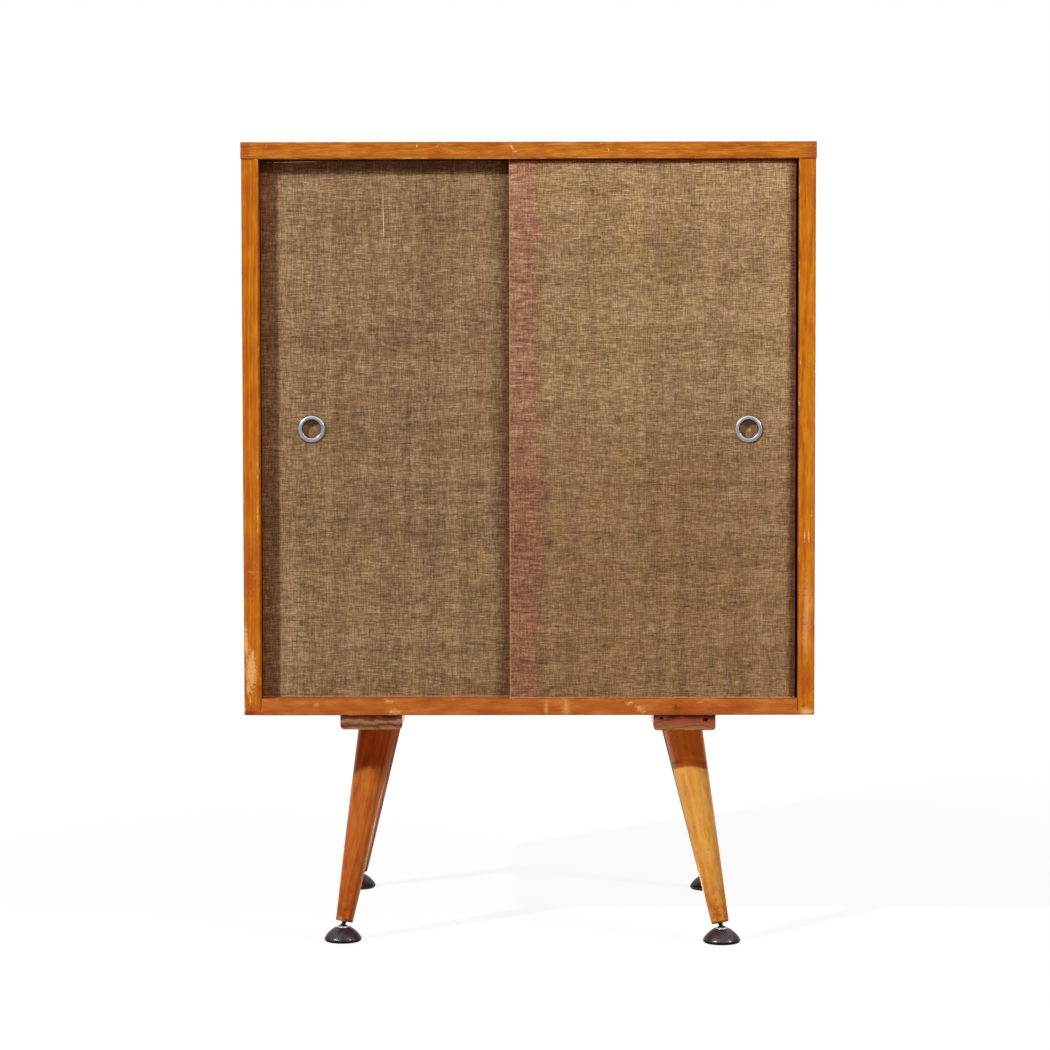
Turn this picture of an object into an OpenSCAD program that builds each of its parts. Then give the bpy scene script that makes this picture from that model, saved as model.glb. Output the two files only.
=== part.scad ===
// Cabinet with two sliding doors on splayed turned legs with swivel glides
// X runs to the right, the front faces -Y, Z is up, and the origin is on the floor
// under the middle of the case

/* [Case] */
// Width of the top board
top_w = 610; // [480:5:900]
// Depth of the case, front to back
case_d = 457; // [380:1:560]
// Height of the case without its base
case_h = 610; // [450:5:800]
// Thickness of the top, the sides and the bottom
board_t = 18; // [16:0.5:22]
// How far the top stands proud of each side
top_reveal = 0.7; // [0:0.1:3]
// Radius on the eased edges of the boards
edge_r = 1; // [0.5:0.1:2]
// Radius on the lower corners of the sides
corner_r = 2; // [1:0.5:4]

/* [Joinery] */
// Diameter of the dowels in the corners of the case
dowel_d = 8; // [6:0.5:10]
// Depth of a dowel in the end of a board
dowel_deep = 24; // [18:1:30]
// Wood left past a dowel in the face of a board
dowel_cover = 6; // [4:0.5:8]
// Distance from the front and the back to the outer dowels
dowel_setback = 55; // [40:1:80]
// Number of dowels in each corner
dowel_count = 4; // [3:1:6]
// Radial clearance of dowels, tenons and screws in their holes
fit_gap = 0.05; // [0.02:0.01:0.1]

/* [Back] */
// Thickness of the back panel
back_t = 6; // [4:0.5:9]
// Width of the rabbet that the back panel lies in
rabbet_w = 9; // [7:0.5:12]
// How far the back panel lies in from the back edges
back_inset = 1; // [0:0.5:3]
// Gap round the back panel in its rabbet
back_play = 0.3; // [0.1:0.1:1]
// Diameter of the screws in the back panel
back_screw_d = 3; // [2.5:0.1:3.5]
// Diameter of the heads of those screws
back_head_d = 6; // [5:0.2:7]
// Length of the screws in the back panel
back_screw_len = 22; // [16:1:30]
// Number of screws along each side of the back panel
back_rows = 4; // [3:1:6]
// Number of screws along its top and along its bottom
back_cols = 3; // [2:1:5]
// Distance from the top and the bottom boards to the screws along the sides
back_row_in = 60; // [40:1:90]
// Distance from the sides to the screws along the top and the bottom
back_col_in = 90; // [60:1:120]

/* [Doors] */
// How far the two doors overlap at the middle
door_overlap = 36; // [20:1:60]
// Thickness of the board of each door
core_t = 5.75; // [5:0.05:8]
// Thickness of the woven facing on each door
facing_t = 0.6; // [0.4:0.1:1]
// Distance from the front of the case to the face of the front door
door_inset = 6.35; // [5:0.05:12]
// Space between the two doors
door_gap = 6.35; // [5:0.05:12]
// Depth of the grooves in the bottom
groove_low = 5; // [3:0.5:7]
// Wood left over the grooves in the top, which are deep so that a door lifts out
groove_cover = 6; // [4:0.5:8]
// How far the doors reach up into the grooves in the top
door_engage = 5; // [3:0.5:7]
// Play on each face of a door in its groove
groove_play = 0.8; // [0.4:0.1:1.5]
// Gap between a door and the floor of its groove
run_gap = 0.3; // [0.2:0.1:1]
// Gap between the shut left door and its side
stop_gap = 0.9; // [0.3:0.1:1.5]
// Gap between the right door and its side where it stands
ajar_gap = 2.7; // [0.9:0.1:6]
// Radius on the corners of the doors
door_r = 1; // [0.5:0.5:3]

/* [Pulls] */
// Outer diameter of the ring
pull_d = 28.5; // [24:0.5:34]
// Diameter of the finger hole in the ring
pull_bore_d = 19; // [15:0.5:20]
// Thickness of the collar behind the ring
pull_wall = 1.1; // [0.8:0.1:2]
// How far the ring stands proud of the facing
pull_proud = 1.5; // [1:0.1:3]
// Depth of the collar in the board of the door
pull_collar = 3.4; // [2:0.1:3.6]
// Board left behind the finger recess
pull_floor = 1.35; // [1:0.05:1.6]
// Distance from the outer edge of the left door to the middle of its ring
left_pull_inset = 53.3; // [35:0.1:80]
// Distance from the outer edge of the right door to the middle of its ring
right_pull_inset = 49.7; // [35:0.1:80]

/* [Shelf] */
// Thickness of the shelf
shelf_t = 16; // [12:0.5:22]
// Gap between each end of the shelf and its side
shelf_play = 1; // [0.5:0.5:3]
// Gap between the rear door and the front edge of the shelf
shelf_front_gap = 8; // [5:0.5:30]
// Gap between the pins and the shelf
seat_gap = 0.3; // [0.1:0.1:0.5]
// Diameter of the shelf pins
pin_d = 6; // [5:0.25:7]
// Depth of the pin holes in the sides
pin_hole = 11; // [8:0.5:13]
// How far the pins stand out of the sides
pin_out = 9; // [7:0.5:14]
// Distance from the front of the case to the front row of pin holes
pin_setback = 75; // [60:1:120]
// Number of holes in each row
pin_rows = 7; // [5:1:9]
// Distance between the holes in a row
pin_pitch = 48; // [25:1:50]
// Height of the lowest hole over the bottom board
pin_first = 130; // [90:1:150]
// Number of holes in a row below the one that the shelf is set at
holes_below = 3; // [0:1:4]

/* [Rails] */
// Height of the underside of the case over the floor
base_h = 254; // [180:1:320]
// Width of each leg rail
rail_w = 67; // [56:1:90]
// Thickness of each leg rail
rail_t = 22; // [18:0.5:28]
// Distance from the front and the back of the case to the ends of the rails
rail_setback = 50; // [30:1:70]
// Distance from the left face of the case to the middle of the left rail
left_rail_inset = 133; // [100:0.1:160]
// Distance from the right face of the case to the middle of the right rail
right_rail_inset = 136.9; // [100:0.1:160]
// How far the right rail stands in front of the left one
rail_stagger = 11; // [0:0.5:20]
// Radius on the lower edges of the rails
rail_r = 4; // [1:0.5:6]
// Diameter of the screws that hold the rails
rail_screw_d = 4.2; // [3.5:0.1:5]
// Diameter of the heads of those screws
rail_head_d = 8.4; // [7:0.2:10]
// Depth of those screws in the bottom board
rail_screw_in = 11; // [8:0.5:13]
// Number of screws in each rail
rail_screws = 3; // [2:1:4]
// Distance between the screws in a rail
rail_screw_pitch = 70; // [40:1:75]

/* [Legs] */
// Distance from the front and the back of the case to the legs at the rails
leg_setback = 92.5; // [80:0.5:120]
// How far the left legs stand inside the middle line of their rail
left_leg_inset = 6.5; // [0:0.1:7.5]
// How far the right legs stand inside the middle line of their rail
right_leg_inset = 1.3; // [0:0.1:7.5]
// Lean of the left legs to the side, in degrees
left_splay = 10; // [5:0.1:13]
// Lean of the right legs to the side, in degrees
right_splay = 10.9; // [5:0.1:13]
// Lean of the legs to the front and the back, in degrees
splay_fore = 9.8; // [5:0.1:13]
// Diameter of a leg at the rail
leg_top_d = 44; // [32:0.5:50]
// Diameter of a leg at the foot
leg_foot_d = 19; // [15:0.5:26]
// Radius on the foot end of a leg
leg_foot_r = 1.2; // [0.5:0.1:3]
// Diameter of the tenon on a leg
tenon_d = 22; // [16:0.5:25]
// Wood left over the tenon in the rail
tenon_cover = 2.5; // [2:0.5:5]
// Gap past the end of the tenon
tenon_gap = 0.6; // [0.3:0.1:0.9]

/* [Glides] */
// Diameter of the base of a glide
glide_d = 40.5; // [32:0.5:50]
// Height of the base of a glide
glide_h = 15.4; // [13:0.1:20]
// Height of the widest part of the base over the floor
glide_belly = 3.2; // [1.5:0.1:5]
// Diameter of the flat top of the base
glide_top_d = 15.5; // [14.6:0.1:18]
// Outer diameter of the metal cap
cap_d = 13.4; // [13:0.1:14.4]
// Height of the metal cap over the base
cap_h = 1.2; // [1.1:0.1:3]
// Depth of the cap in the base
cap_seat = 1.2; // [0.8:0.1:1.6]
// Diameter of the ball on the stud
ball_d = 10; // [9:0.1:10.6]
// Depth of the middle of the ball below the top of the base
ball_drop = 1.4; // [1.2:0.1:2]
// Running gap round the ball
ball_gap = 0.2; // [0.1:0.05:0.3]
// Diameter of the neck over the ball
neck_d = 4.4; // [3.6:0.1:5]
// Distance from the middle of the ball to the end of the leg
neck_len = 7.4; // [7.2:0.1:15]
// Diameter of the stem in the leg
stem_d = 6.4; // [5:0.1:8]
// Length of the stem in the leg
stem_len = 22; // [16:1:32]

/* [Hidden] */
$fn = 96;
eps = 0.01;
past = 5;
maple = [0.76, 0.43, 0.13];
maple_dark = [0.68, 0.34, 0.12];
maple_light = [0.84, 0.60, 0.28];
end_grain = [0.60, 0.37, 0.27];
plywood = [0.78, 0.62, 0.42];
weave_left = [0.52, 0.41, 0.29];
weave_right = [0.56, 0.45, 0.32];
hardboard = [0.62, 0.45, 0.29];
satin_metal = [0.75, 0.75, 0.78];
nickel = [0.80, 0.79, 0.76];
steel = [0.55, 0.54, 0.52];
brown_plastic = [0.26, 0.19, 0.18];

case_w = top_w - 2 * top_reveal;
inner_w = case_w - 2 * board_t;
front_y = -case_d / 2;
back_y = case_d / 2;
floor_z = base_h + board_t;
total_h = base_h + case_h;
roof_z = total_h - board_t;
side_mid = (case_w - board_t) / 2;

door_t = core_t + facing_t;
door_w = (inner_w + door_overlap) / 2;
door_low_z = floor_z - groove_low + run_gap;
door_h = roof_z + door_engage - door_low_z;
front_door_y = front_y + door_inset;
rear_door_y = front_door_y + door_t + door_gap;
left_door_x = -inner_w / 2 + stop_gap;
right_door_x = inner_w / 2 - ajar_gap - door_w;
pull_z = door_low_z + door_h / 2;
pull_lip_r = pull_bore_d / 2 + pull_wall;
recess = core_t - pull_floor;

rabbet_d = back_t + back_inset;
shoulder_y = back_y - rabbet_d;
panel_low_z = floor_z - rabbet_w + back_play;
panel_high_z = roof_z + rabbet_w - back_play;
panel_w = inner_w + 2 * (rabbet_w - back_play);

shelf_front = rear_door_y + door_t + shelf_front_gap;
shelf_back = shoulder_y - shelf_play;
pin_z = floor_z + pin_first + holes_below * pin_pitch;
shelf_z = pin_z + pin_d / 2 + seat_gap;

rail_z = base_h - rail_t;
rail_len = case_d - 2 * rail_setback;
leg_y = case_d / 2 - leg_setback;
ball_z = glide_h - ball_drop;
leg_drop = rail_z - ball_z;
socket_r = ball_d / 2 + ball_gap;

// Places and angles under the case, where side is -1 on the left and 1 on the right,
// and fore is -1 at the front and 1 at the back
function rail_x(side) = side * (case_w / 2 - (side < 0 ? left_rail_inset : right_rail_inset));
function rail_y(side) = -side * rail_stagger / 2;
function leg_x(side) = rail_x(side) - side * (side < 0 ? left_leg_inset : right_leg_inset);
function splay(side) = side < 0 ? left_splay : right_splay;
function tilt(side) = atan(sqrt(pow(tan(splay(side)), 2) + pow(tan(splay_fore), 2)));
function heading(side, fore) = atan2(fore * tan(splay_fore), side * tan(splay(side)));
function axis_len(side) = leg_drop / cos(tilt(side));
function leg_top_extra(side) = leg_top_d / 2 * tan(tilt(side)) + 1;
function foot_x(side) = leg_x(side) + side * leg_drop * tan(splay(side));
function foot_y(side, fore) = rail_y(side) + fore * (leg_y + leg_drop * tan(splay_fore));
function tenon_hole(side) =
    (rail_t - tenon_cover - (tenon_d / 2 + fit_gap) * sin(tilt(side))) / cos(tilt(side));

// Place i of count evenly spaced places from low to high
function spaced(i, count, low, high) = low + i * (high - low) / (count - 1);
function dowel_y(i) = spaced(i, dowel_count, front_y + dowel_setback, back_y - dowel_setback);

// The flank of a glide base at a share u of its height, between a cone and a dome
function flank_r(u) =
    glide_top_d / 2 + (glide_d - glide_top_d) / 2 * pow(1 - pow(u, 1.3), 1 / 1.3);

// What comes off the corner of a square at the origin to round it
module corner_waste(r) {
    difference() {
        translate([-past, -past]) square(r + past);
        translate([r, r]) circle(r);
    }
}

// Rectangle with one radius for each corner: low left, low right, high left, high right
module eased_rect(w, h, radii) {
    difference() {
        square([w, h]);
        if (radii[0] > 0) corner_waste(radii[0]);
        if (radii[1] > 0) translate([w, 0]) mirror([1, 0]) corner_waste(radii[1]);
        if (radii[2] > 0) translate([0, h]) mirror([0, 1]) corner_waste(radii[2]);
        if (radii[3] > 0) translate([w, h]) mirror([1, 0]) mirror([0, 1]) corner_waste(radii[3]);
    }
}

// Profile drawn in X and Z, run back along Y
module along_y(length) {
    translate([0, length, 0]) rotate([90, 0, 0]) linear_extrude(length) children();
}

// Profile drawn in Y and Z, run along X
module along_x(length) {
    rotate([90, 0, 90]) linear_extrude(length) children();
}

// Cylinder whose axis points along Y, from the face at y = 0 to y = length
module rod_y(r, length) {
    rotate([-90, 0, 0]) cylinder(r = r, h = length);
}

// The two grooves that the doors run in, with their floor at z = 0
module door_grooves(length, depth) {
    for (face_y = [front_door_y, rear_door_y])
        translate([-length / 2, face_y - groove_play, 0])
            cube([length, door_t + 2 * groove_play, depth]);
}

// Upright dowels, or their holes, in the corner of one side and the top
module top_dowel_row(side, gap) {
    for (i = [0:dowel_count - 1])
        translate([side * side_mid, dowel_y(i), roof_z - dowel_deep])
            cylinder(r = dowel_d / 2 + gap, h = dowel_deep + board_t - dowel_cover);
}

// Level dowels, or their holes, in the corner of one side and the bottom
module bottom_dowel_row(side, gap) {
    for (i = [0:dowel_count - 1])
        translate([side * (inner_w / 2 - dowel_deep), dowel_y(i), base_h + board_t / 2])
            rotate([0, side * 90, 0])
                cylinder(r = dowel_d / 2 + gap, h = dowel_deep + board_t - dowel_cover);
}

// Countersunk screw with its head at z = 0 and its point at z = -length
module flat_screw(shank_d, head_d, length, gap) {
    head_h = (head_d - shank_d) / 2;
    translate([0, 0, -head_h])
        cylinder(r1 = shank_d / 2 + gap, r2 = head_d / 2 + gap, h = head_h);
    translate([0, 0, -length - gap])
        cylinder(r = shank_d / 2 + gap, h = length - head_h + gap + eps);
}

// Screws of the back panel, or their holes
module back_screw_set(gap) {
    middle = rabbet_w / 2;
    for (side = [-1, 1], i = [0:back_rows - 1])
        translate([side * (inner_w / 2 + middle), back_y - back_inset,
                   spaced(i, back_rows, floor_z + back_row_in, roof_z - back_row_in)])
            rotate([-90, 0, 0]) flat_screw(back_screw_d, back_head_d, back_screw_len, gap);
    for (z = [floor_z - middle, roof_z + middle], i = [0:back_cols - 1])
        translate([spaced(i, back_cols, -inner_w / 2 + back_col_in, inner_w / 2 - back_col_in),
                   back_y - back_inset, z])
            rotate([-90, 0, 0]) flat_screw(back_screw_d, back_head_d, back_screw_len, gap);
}

// Screws of one leg rail, or their holes, driven up from the underside of the rail
module rail_screw_set(side, gap) {
    for (i = [0:rail_screws - 1])
        translate([rail_x(side), rail_y(side) + (i - (rail_screws - 1) / 2) * rail_screw_pitch,
                   rail_z])
            rotate([180, 0, 0])
                flat_screw(rail_screw_d, rail_head_d, rail_t + rail_screw_in, gap);
}

// Frame of one leg: the origin is where its axis leaves the rail, and -Z runs to the foot
module at_leg(side, fore) {
    translate([leg_x(side), rail_y(side) + fore * leg_y, rail_z])
        rotate([0, -tilt(side), heading(side, fore)]) children();
}

module top_panel() {
    color(maple) difference() {
        intersection() {
            translate([-top_w / 2, front_y, roof_z])
                along_y(case_d) eased_rect(top_w, board_t, [edge_r, edge_r, edge_r, edge_r]);
            translate([-top_w / 2, front_y, roof_z])
                along_x(top_w) eased_rect(case_d, board_t, [edge_r, edge_r, edge_r, edge_r]);
            translate([-top_w / 2, front_y, roof_z]) linear_extrude(board_t)
                eased_rect(top_w, case_d, [edge_r, edge_r, edge_r, edge_r]);
        }
        translate([0, 0, roof_z - past]) door_grooves(inner_w, board_t - groove_cover + past);
        translate([-inner_w / 2 - rabbet_w, shoulder_y, roof_z - past])
            cube([inner_w + 2 * rabbet_w, rabbet_d + past, rabbet_w + past]);
        for (side = [-1, 1]) top_dowel_row(side, fit_gap);
        back_screw_set(fit_gap);
    }
}

// One side board, drawn for the right and mirrored for the left
module side_board() {
    color(maple) difference() {
        intersection() {
            translate([inner_w / 2, front_y, base_h])
                linear_extrude(case_h - board_t)
                    eased_rect(board_t, case_d, [edge_r, edge_r, 0, edge_r]);
            translate([inner_w / 2, front_y, base_h])
                along_y(case_d)
                    eased_rect(board_t, case_h - board_t, [0, corner_r, 0, 0]);
            translate([inner_w / 2, front_y, base_h])
                along_x(board_t)
                    eased_rect(case_d, case_h - board_t, [corner_r, corner_r, 0, 0]);
        }
        translate([inner_w / 2 - past, shoulder_y, floor_z - rabbet_w])
            cube([rabbet_w + past, rabbet_d + past, case_h]);
        top_dowel_row(1, fit_gap);
        bottom_dowel_row(1, fit_gap);
        back_screw_set(fit_gap);
        for (y = [front_y + pin_setback, back_y - pin_setback], i = [0:pin_rows - 1])
            translate([inner_w / 2 - eps, y, floor_z + pin_first + i * pin_pitch])
                rotate([0, 90, 0]) cylinder(r = pin_d / 2 + fit_gap, h = pin_hole + eps);
    }
}

module left_side() {
    mirror([1, 0, 0]) side_board();
}

module right_side() {
    side_board();
}

module bottom_panel() {
    color(maple_dark) difference() {
        translate([-inner_w / 2, front_y, base_h])
            along_x(inner_w) eased_rect(case_d, board_t, [edge_r, 0, edge_r, 0]);
        translate([0, 0, floor_z - groove_low]) door_grooves(inner_w + 2 * past, past + groove_low);
        translate([-inner_w / 2 - past, shoulder_y, floor_z - rabbet_w])
            cube([inner_w + 2 * past, rabbet_d + past, rabbet_w + past]);
        for (side = [-1, 1]) {
            bottom_dowel_row(side, fit_gap);
            rail_screw_set(side, fit_gap);
        }
        back_screw_set(fit_gap);
    }
}

module back_panel() {
    color(plywood) difference() {
        translate([-panel_w / 2, shoulder_y, panel_low_z])
            cube([panel_w, back_t, panel_high_z - panel_low_z]);
        back_screw_set(fit_gap);
    }
}

module back_screws() {
    color(steel) back_screw_set(0);
}

module top_dowels() {
    color(maple_light) for (side = [-1, 1]) top_dowel_row(side, 0);
}

module bottom_dowels() {
    color(maple_light) for (side = [-1, 1]) bottom_dowel_row(side, 0);
}

// Places its children at the middle of a finger recess, on the face of the facing
module at_pull(door_x, face_y, from_left) {
    pull_x = from_left ? left_pull_inset : door_w - right_pull_inset;
    translate([door_x + pull_x, face_y, pull_z]) children();
}

module door_board(door_x, face_y, from_left) {
    color(hardboard) difference() {
        translate([door_x, face_y + facing_t, door_low_z])
            along_y(core_t) eased_rect(door_w, door_h, [door_r, door_r, door_r, door_r]);
        at_pull(door_x, face_y, from_left)
            translate([0, facing_t - eps, 0]) rod_y(pull_lip_r + fit_gap, recess + eps);
    }
}

module door_facing(door_x, face_y, from_left) {
    difference() {
        translate([door_x, face_y, door_low_z])
            along_y(facing_t) eased_rect(door_w, door_h, [door_r, door_r, door_r, door_r]);
        at_pull(door_x, face_y, from_left)
            translate([0, -past, 0]) rod_y(pull_lip_r + fit_gap, 2 * past);
    }
}

// Pressed ring: a rounded flange on the facing and a thin collar in the recess
module pull_ring(door_x, face_y, from_left) {
    bore_r = pull_bore_d / 2;
    half_w = (pull_d / 2 - bore_r) / 2;
    color(satin_metal) at_pull(door_x, face_y, from_left) rotate([90, 0, 0])
        rotate_extrude() polygon([
            [bore_r, -facing_t - pull_collar],
            [bore_r + pull_wall, -facing_t - pull_collar],
            [bore_r + pull_wall, 0],
            for (a = [0:10:150])
                [bore_r + half_w * (1 + cos(a)), pull_proud * pow(sin(a), 0.7)],
            [bore_r, pull_proud / 3]
        ]);
}

module left_door_board() {
    door_board(left_door_x, rear_door_y, true);
}

module left_door_facing() {
    color(weave_left) door_facing(left_door_x, rear_door_y, true);
}

module left_pull_ring() {
    pull_ring(left_door_x, rear_door_y, true);
}

module right_door_board() {
    door_board(right_door_x, front_door_y, false);
}

module right_door_facing() {
    color(weave_right) door_facing(right_door_x, front_door_y, false);
}

module right_pull_ring() {
    pull_ring(right_door_x, front_door_y, false);
}

module shelf() {
    color(plywood)
        translate([-inner_w / 2 + shelf_play, shelf_front, shelf_z])
            along_x(inner_w - 2 * shelf_play)
                eased_rect(shelf_back - shelf_front, shelf_t, [edge_r, 0, edge_r, 0]);
}

// Four pins under the shelf, each a little shorter than its hole is deep
module shelf_pins() {
    hidden = pin_hole - 1;
    color(steel)
        for (side = [-1, 1], y = [front_y + pin_setback, back_y - pin_setback])
            translate([side * (inner_w / 2 + hidden), y, pin_z])
                rotate([0, -side * 90, 0]) cylinder(r = pin_d / 2, h = hidden + pin_out);
}

module leg_rail(side) {
    extra = leg_top_extra(side);
    color(end_grain) difference() {
        translate([rail_x(side) - rail_w / 2, rail_y(side) - rail_len / 2, rail_z])
            along_y(rail_len) eased_rect(rail_w, rail_t, [rail_r, rail_r, 0, 0]);
        for (fore = [-1, 1])
            at_leg(side, fore) translate([0, 0, -extra])
                cylinder(r = tenon_d / 2 + fit_gap, h = tenon_hole(side) + extra);
        rail_screw_set(side, fit_gap);
    }
}

module left_leg_rail() {
    leg_rail(-1);
}

module right_leg_rail() {
    leg_rail(1);
}

module left_rail_screws() {
    color(steel) rail_screw_set(-1, 0);
}

module right_rail_screws() {
    color(steel) rail_screw_set(1, 0);
}

// Turned leg: a taper with a rounded foot end, cut flat under the rail, and a tenon
module leg(side, fore, tint) {
    foot_r = leg_foot_d / 2;
    extra = leg_top_extra(side);
    length = axis_len(side) - neck_len;
    top_r = leg_top_d / 2 + (leg_top_d - leg_foot_d) / 2 / length * extra;
    color(tint) difference() {
        union() {
            difference() {
                at_leg(side, fore) translate([0, 0, -length]) rotate_extrude()
                    polygon([
                        [0, 0],
                        for (i = [0:6]) [
                            foot_r - leg_foot_r * (1 - sin(i * 15)),
                            leg_foot_r * (1 - cos(i * 15))
                        ],
                        [top_r, length + extra],
                        [0, length + extra]
                    ]);
                translate([leg_x(side), rail_y(side) + fore * leg_y, rail_z])
                    translate([-leg_top_d, -leg_top_d, 0])
                        cube([2 * leg_top_d, 2 * leg_top_d, 2 * extra]);
            }
            at_leg(side, fore) translate([0, 0, -extra])
                cylinder(r = tenon_d / 2, h = tenon_hole(side) + extra - tenon_gap);
        }
        at_leg(side, fore) translate([0, 0, -length - eps])
            cylinder(r = stem_d / 2 + fit_gap, h = stem_len + 1);
    }
}

module front_left_leg() {
    leg(-1, -1, maple_dark);
}

module front_right_leg() {
    leg(1, -1, maple_light);
}

module rear_left_leg() {
    leg(-1, 1, maple_dark);
}

module rear_right_leg() {
    leg(1, 1, maple);
}

// Stud with a ball at its lower end, in line with the leg
module glide_stud(side, fore) {
    color(steel) at_leg(side, fore) translate([0, 0, -axis_len(side)]) {
        sphere(r = ball_d / 2);
        cylinder(r = neck_d / 2, h = neck_len + eps);
        translate([0, 0, neck_len]) cylinder(r = stem_d / 2, h = stem_len);
    }
}

// Metal cap that keeps the ball in its socket and lets the neck lean
module glide_cap(side, fore) {
    spigot_r = cap_d / 2 - 0.6;
    lip_r = ball_d / 2 - 0.25;
    color(nickel) translate([foot_x(side), foot_y(side, fore), 0]) difference() {
        union() {
            translate([0, 0, glide_h - cap_seat]) cylinder(r = spigot_r, h = cap_seat + eps);
            translate([0, 0, glide_h]) rotate_extrude()
                eased_rect(cap_d / 2, cap_h, [0, 0, 0, 1]);
        }
        translate([0, 0, ball_z]) sphere(r = socket_r);
        translate([0, 0, ball_z]) cylinder(r = lip_r, h = ball_drop + cap_h + past);
    }
}

// Domed base with the socket of the ball
module glide_base(side, fore) {
    spigot_r = cap_d / 2 - 0.6;
    sole_in = 2.5;
    rise = glide_h - glide_belly;
    color(brown_plastic) translate([foot_x(side), foot_y(side, fore), 0]) difference() {
        rotate_extrude() polygon([
            [0, 0],
            for (i = [0:5]) [
                glide_d / 2 - sole_in * (1 - sin(i * 18)),
                glide_belly * (1 - cos(i * 18))
            ],
            for (i = [1:12]) [flank_r(i / 12), glide_belly + rise * i / 12],
            [0, glide_h]
        ]);
        translate([0, 0, ball_z]) sphere(r = socket_r);
        translate([0, 0, ball_z]) cylinder(r = socket_r, h = ball_drop + past);
        translate([0, 0, glide_h - cap_seat])
            cylinder(r = spigot_r + fit_gap, h = cap_seat + past);
    }
}

module front_left_glide_stud() {
    glide_stud(-1, -1);
}

module front_right_glide_stud() {
    glide_stud(1, -1);
}

module rear_left_glide_stud() {
    glide_stud(-1, 1);
}

module rear_right_glide_stud() {
    glide_stud(1, 1);
}

module front_left_glide_cap() {
    glide_cap(-1, -1);
}

module front_right_glide_cap() {
    glide_cap(1, -1);
}

module rear_left_glide_cap() {
    glide_cap(-1, 1);
}

module rear_right_glide_cap() {
    glide_cap(1, 1);
}

module front_left_glide_base() {
    glide_base(-1, -1);
}

module front_right_glide_base() {
    glide_base(1, -1);
}

module rear_left_glide_base() {
    glide_base(-1, 1);
}

module rear_right_glide_base() {
    glide_base(1, 1);
}

top_panel();
left_side();
right_side();
bottom_panel();
back_panel();
back_screws();
top_dowels();
bottom_dowels();
left_door_board();
left_door_facing();
left_pull_ring();
right_door_board();
right_door_facing();
right_pull_ring();
shelf();
shelf_pins();
left_leg_rail();
right_leg_rail();
left_rail_screws();
right_rail_screws();
front_left_leg();
front_right_leg();
rear_left_leg();
rear_right_leg();
front_left_glide_stud();
front_right_glide_stud();
rear_left_glide_stud();
rear_right_glide_stud();
front_left_glide_cap();
front_right_glide_cap();
rear_left_glide_cap();
rear_right_glide_cap();
front_left_glide_base();
front_right_glide_base();
rear_left_glide_base();
rear_right_glide_base();
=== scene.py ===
from math import atan, atan2, cos, pi, radians, sin, sqrt, tan

import bmesh
import bpy
from mathutils import Euler, Matrix, Vector


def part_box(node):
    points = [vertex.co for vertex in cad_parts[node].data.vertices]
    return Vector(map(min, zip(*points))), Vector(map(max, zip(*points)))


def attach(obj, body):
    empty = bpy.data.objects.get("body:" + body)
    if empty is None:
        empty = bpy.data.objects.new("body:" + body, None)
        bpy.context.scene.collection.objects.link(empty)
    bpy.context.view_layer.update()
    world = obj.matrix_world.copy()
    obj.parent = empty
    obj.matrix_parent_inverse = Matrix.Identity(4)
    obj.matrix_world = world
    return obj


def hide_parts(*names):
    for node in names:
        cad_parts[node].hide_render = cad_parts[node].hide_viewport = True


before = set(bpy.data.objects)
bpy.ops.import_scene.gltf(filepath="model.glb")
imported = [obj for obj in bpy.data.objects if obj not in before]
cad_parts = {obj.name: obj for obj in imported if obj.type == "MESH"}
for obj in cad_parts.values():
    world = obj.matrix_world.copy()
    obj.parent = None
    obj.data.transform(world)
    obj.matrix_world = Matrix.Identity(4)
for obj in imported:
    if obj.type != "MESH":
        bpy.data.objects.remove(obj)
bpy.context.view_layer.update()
MM = 0.001

# Sizes from the part's source, in millimetres and degrees
case_d = 457
case_w = 608.6
board_t = 18
inner_w = case_w - 2 * board_t
back_y = case_d / 2
roof_z = 846
rail_x = {-1: -171.3, 1: 167.4}
rail_y = {-1: 5.5, 1: -5.5}
rail_z = 232
rail_t = 22
leg_x = {-1: -164.8, 1: 166.1}
leg_y = 136
splay_side = {-1: 10, 1: 10.9}
splay_fore = 9.8
leg_top_d = 44
leg_foot_d = 19
leg_foot_r = 1.2
tenon_d = 22
glide_d = 40.5
glide_h = 15.4
glide_belly = 3.2
glide_top_d = 15.5
cap_d = 13.4
cap_h = 1.2
cap_seat = 1.2
cap_wall = 0.6
ball_d = 10
ball_drop = 1.4
ball_gap = 0.2
neck_d = 4.4
neck_len = 7.4
stem_d = 6.4
stem_len = 22
pull_d = 28.5
pull_bore_d = 19
pull_wall = 1.1
pull_proud = 1.5
pull_collar = 3.4
facing_t = 0.6
pin_d = 6
back_screw_d = 3
back_head_d = 6
back_screw_len = 22
rail_screw_d = 4.2
rail_head_d = 8.4
rail_screw_in = 11
rail_screw_pitch = 70

ball_z = glide_h - ball_drop
drop = rail_z - ball_z
tilt = {side: atan(sqrt(tan(radians(lean)) ** 2 + tan(radians(splay_fore)) ** 2))
        for side, lean in splay_side.items()}
axis_len = {side: drop / cos(lean) for side, lean in tilt.items()}
leg_len = {side: length - neck_len for side, length in axis_len.items()}

CORNERS = [
    ("front_left", -1, -1),
    ("front_right", 1, -1),
    ("rear_left", -1, 1),
    ("rear_right", 1, 1),
]


def leg_frame(side, fore):
    """Where the axis of a leg leaves its rail, and how it leans, in metres."""
    heading = atan2(fore * tan(radians(splay_fore)), side * tan(radians(splay_side[side])))
    place = Vector((leg_x[side], rail_y[side] + fore * leg_y, rail_z)) * MM
    return place, Euler((0, -tilt[side], heading))


def foot_place(side, fore):
    """Where the middle of a glide stands on the floor, in metres."""
    x = leg_x[side] + side * drop * tan(radians(splay_side[side]))
    y = rail_y[side] + fore * (leg_y + drop * tan(radians(splay_fore)))
    return Vector((x, y, 0)) * MM


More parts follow.
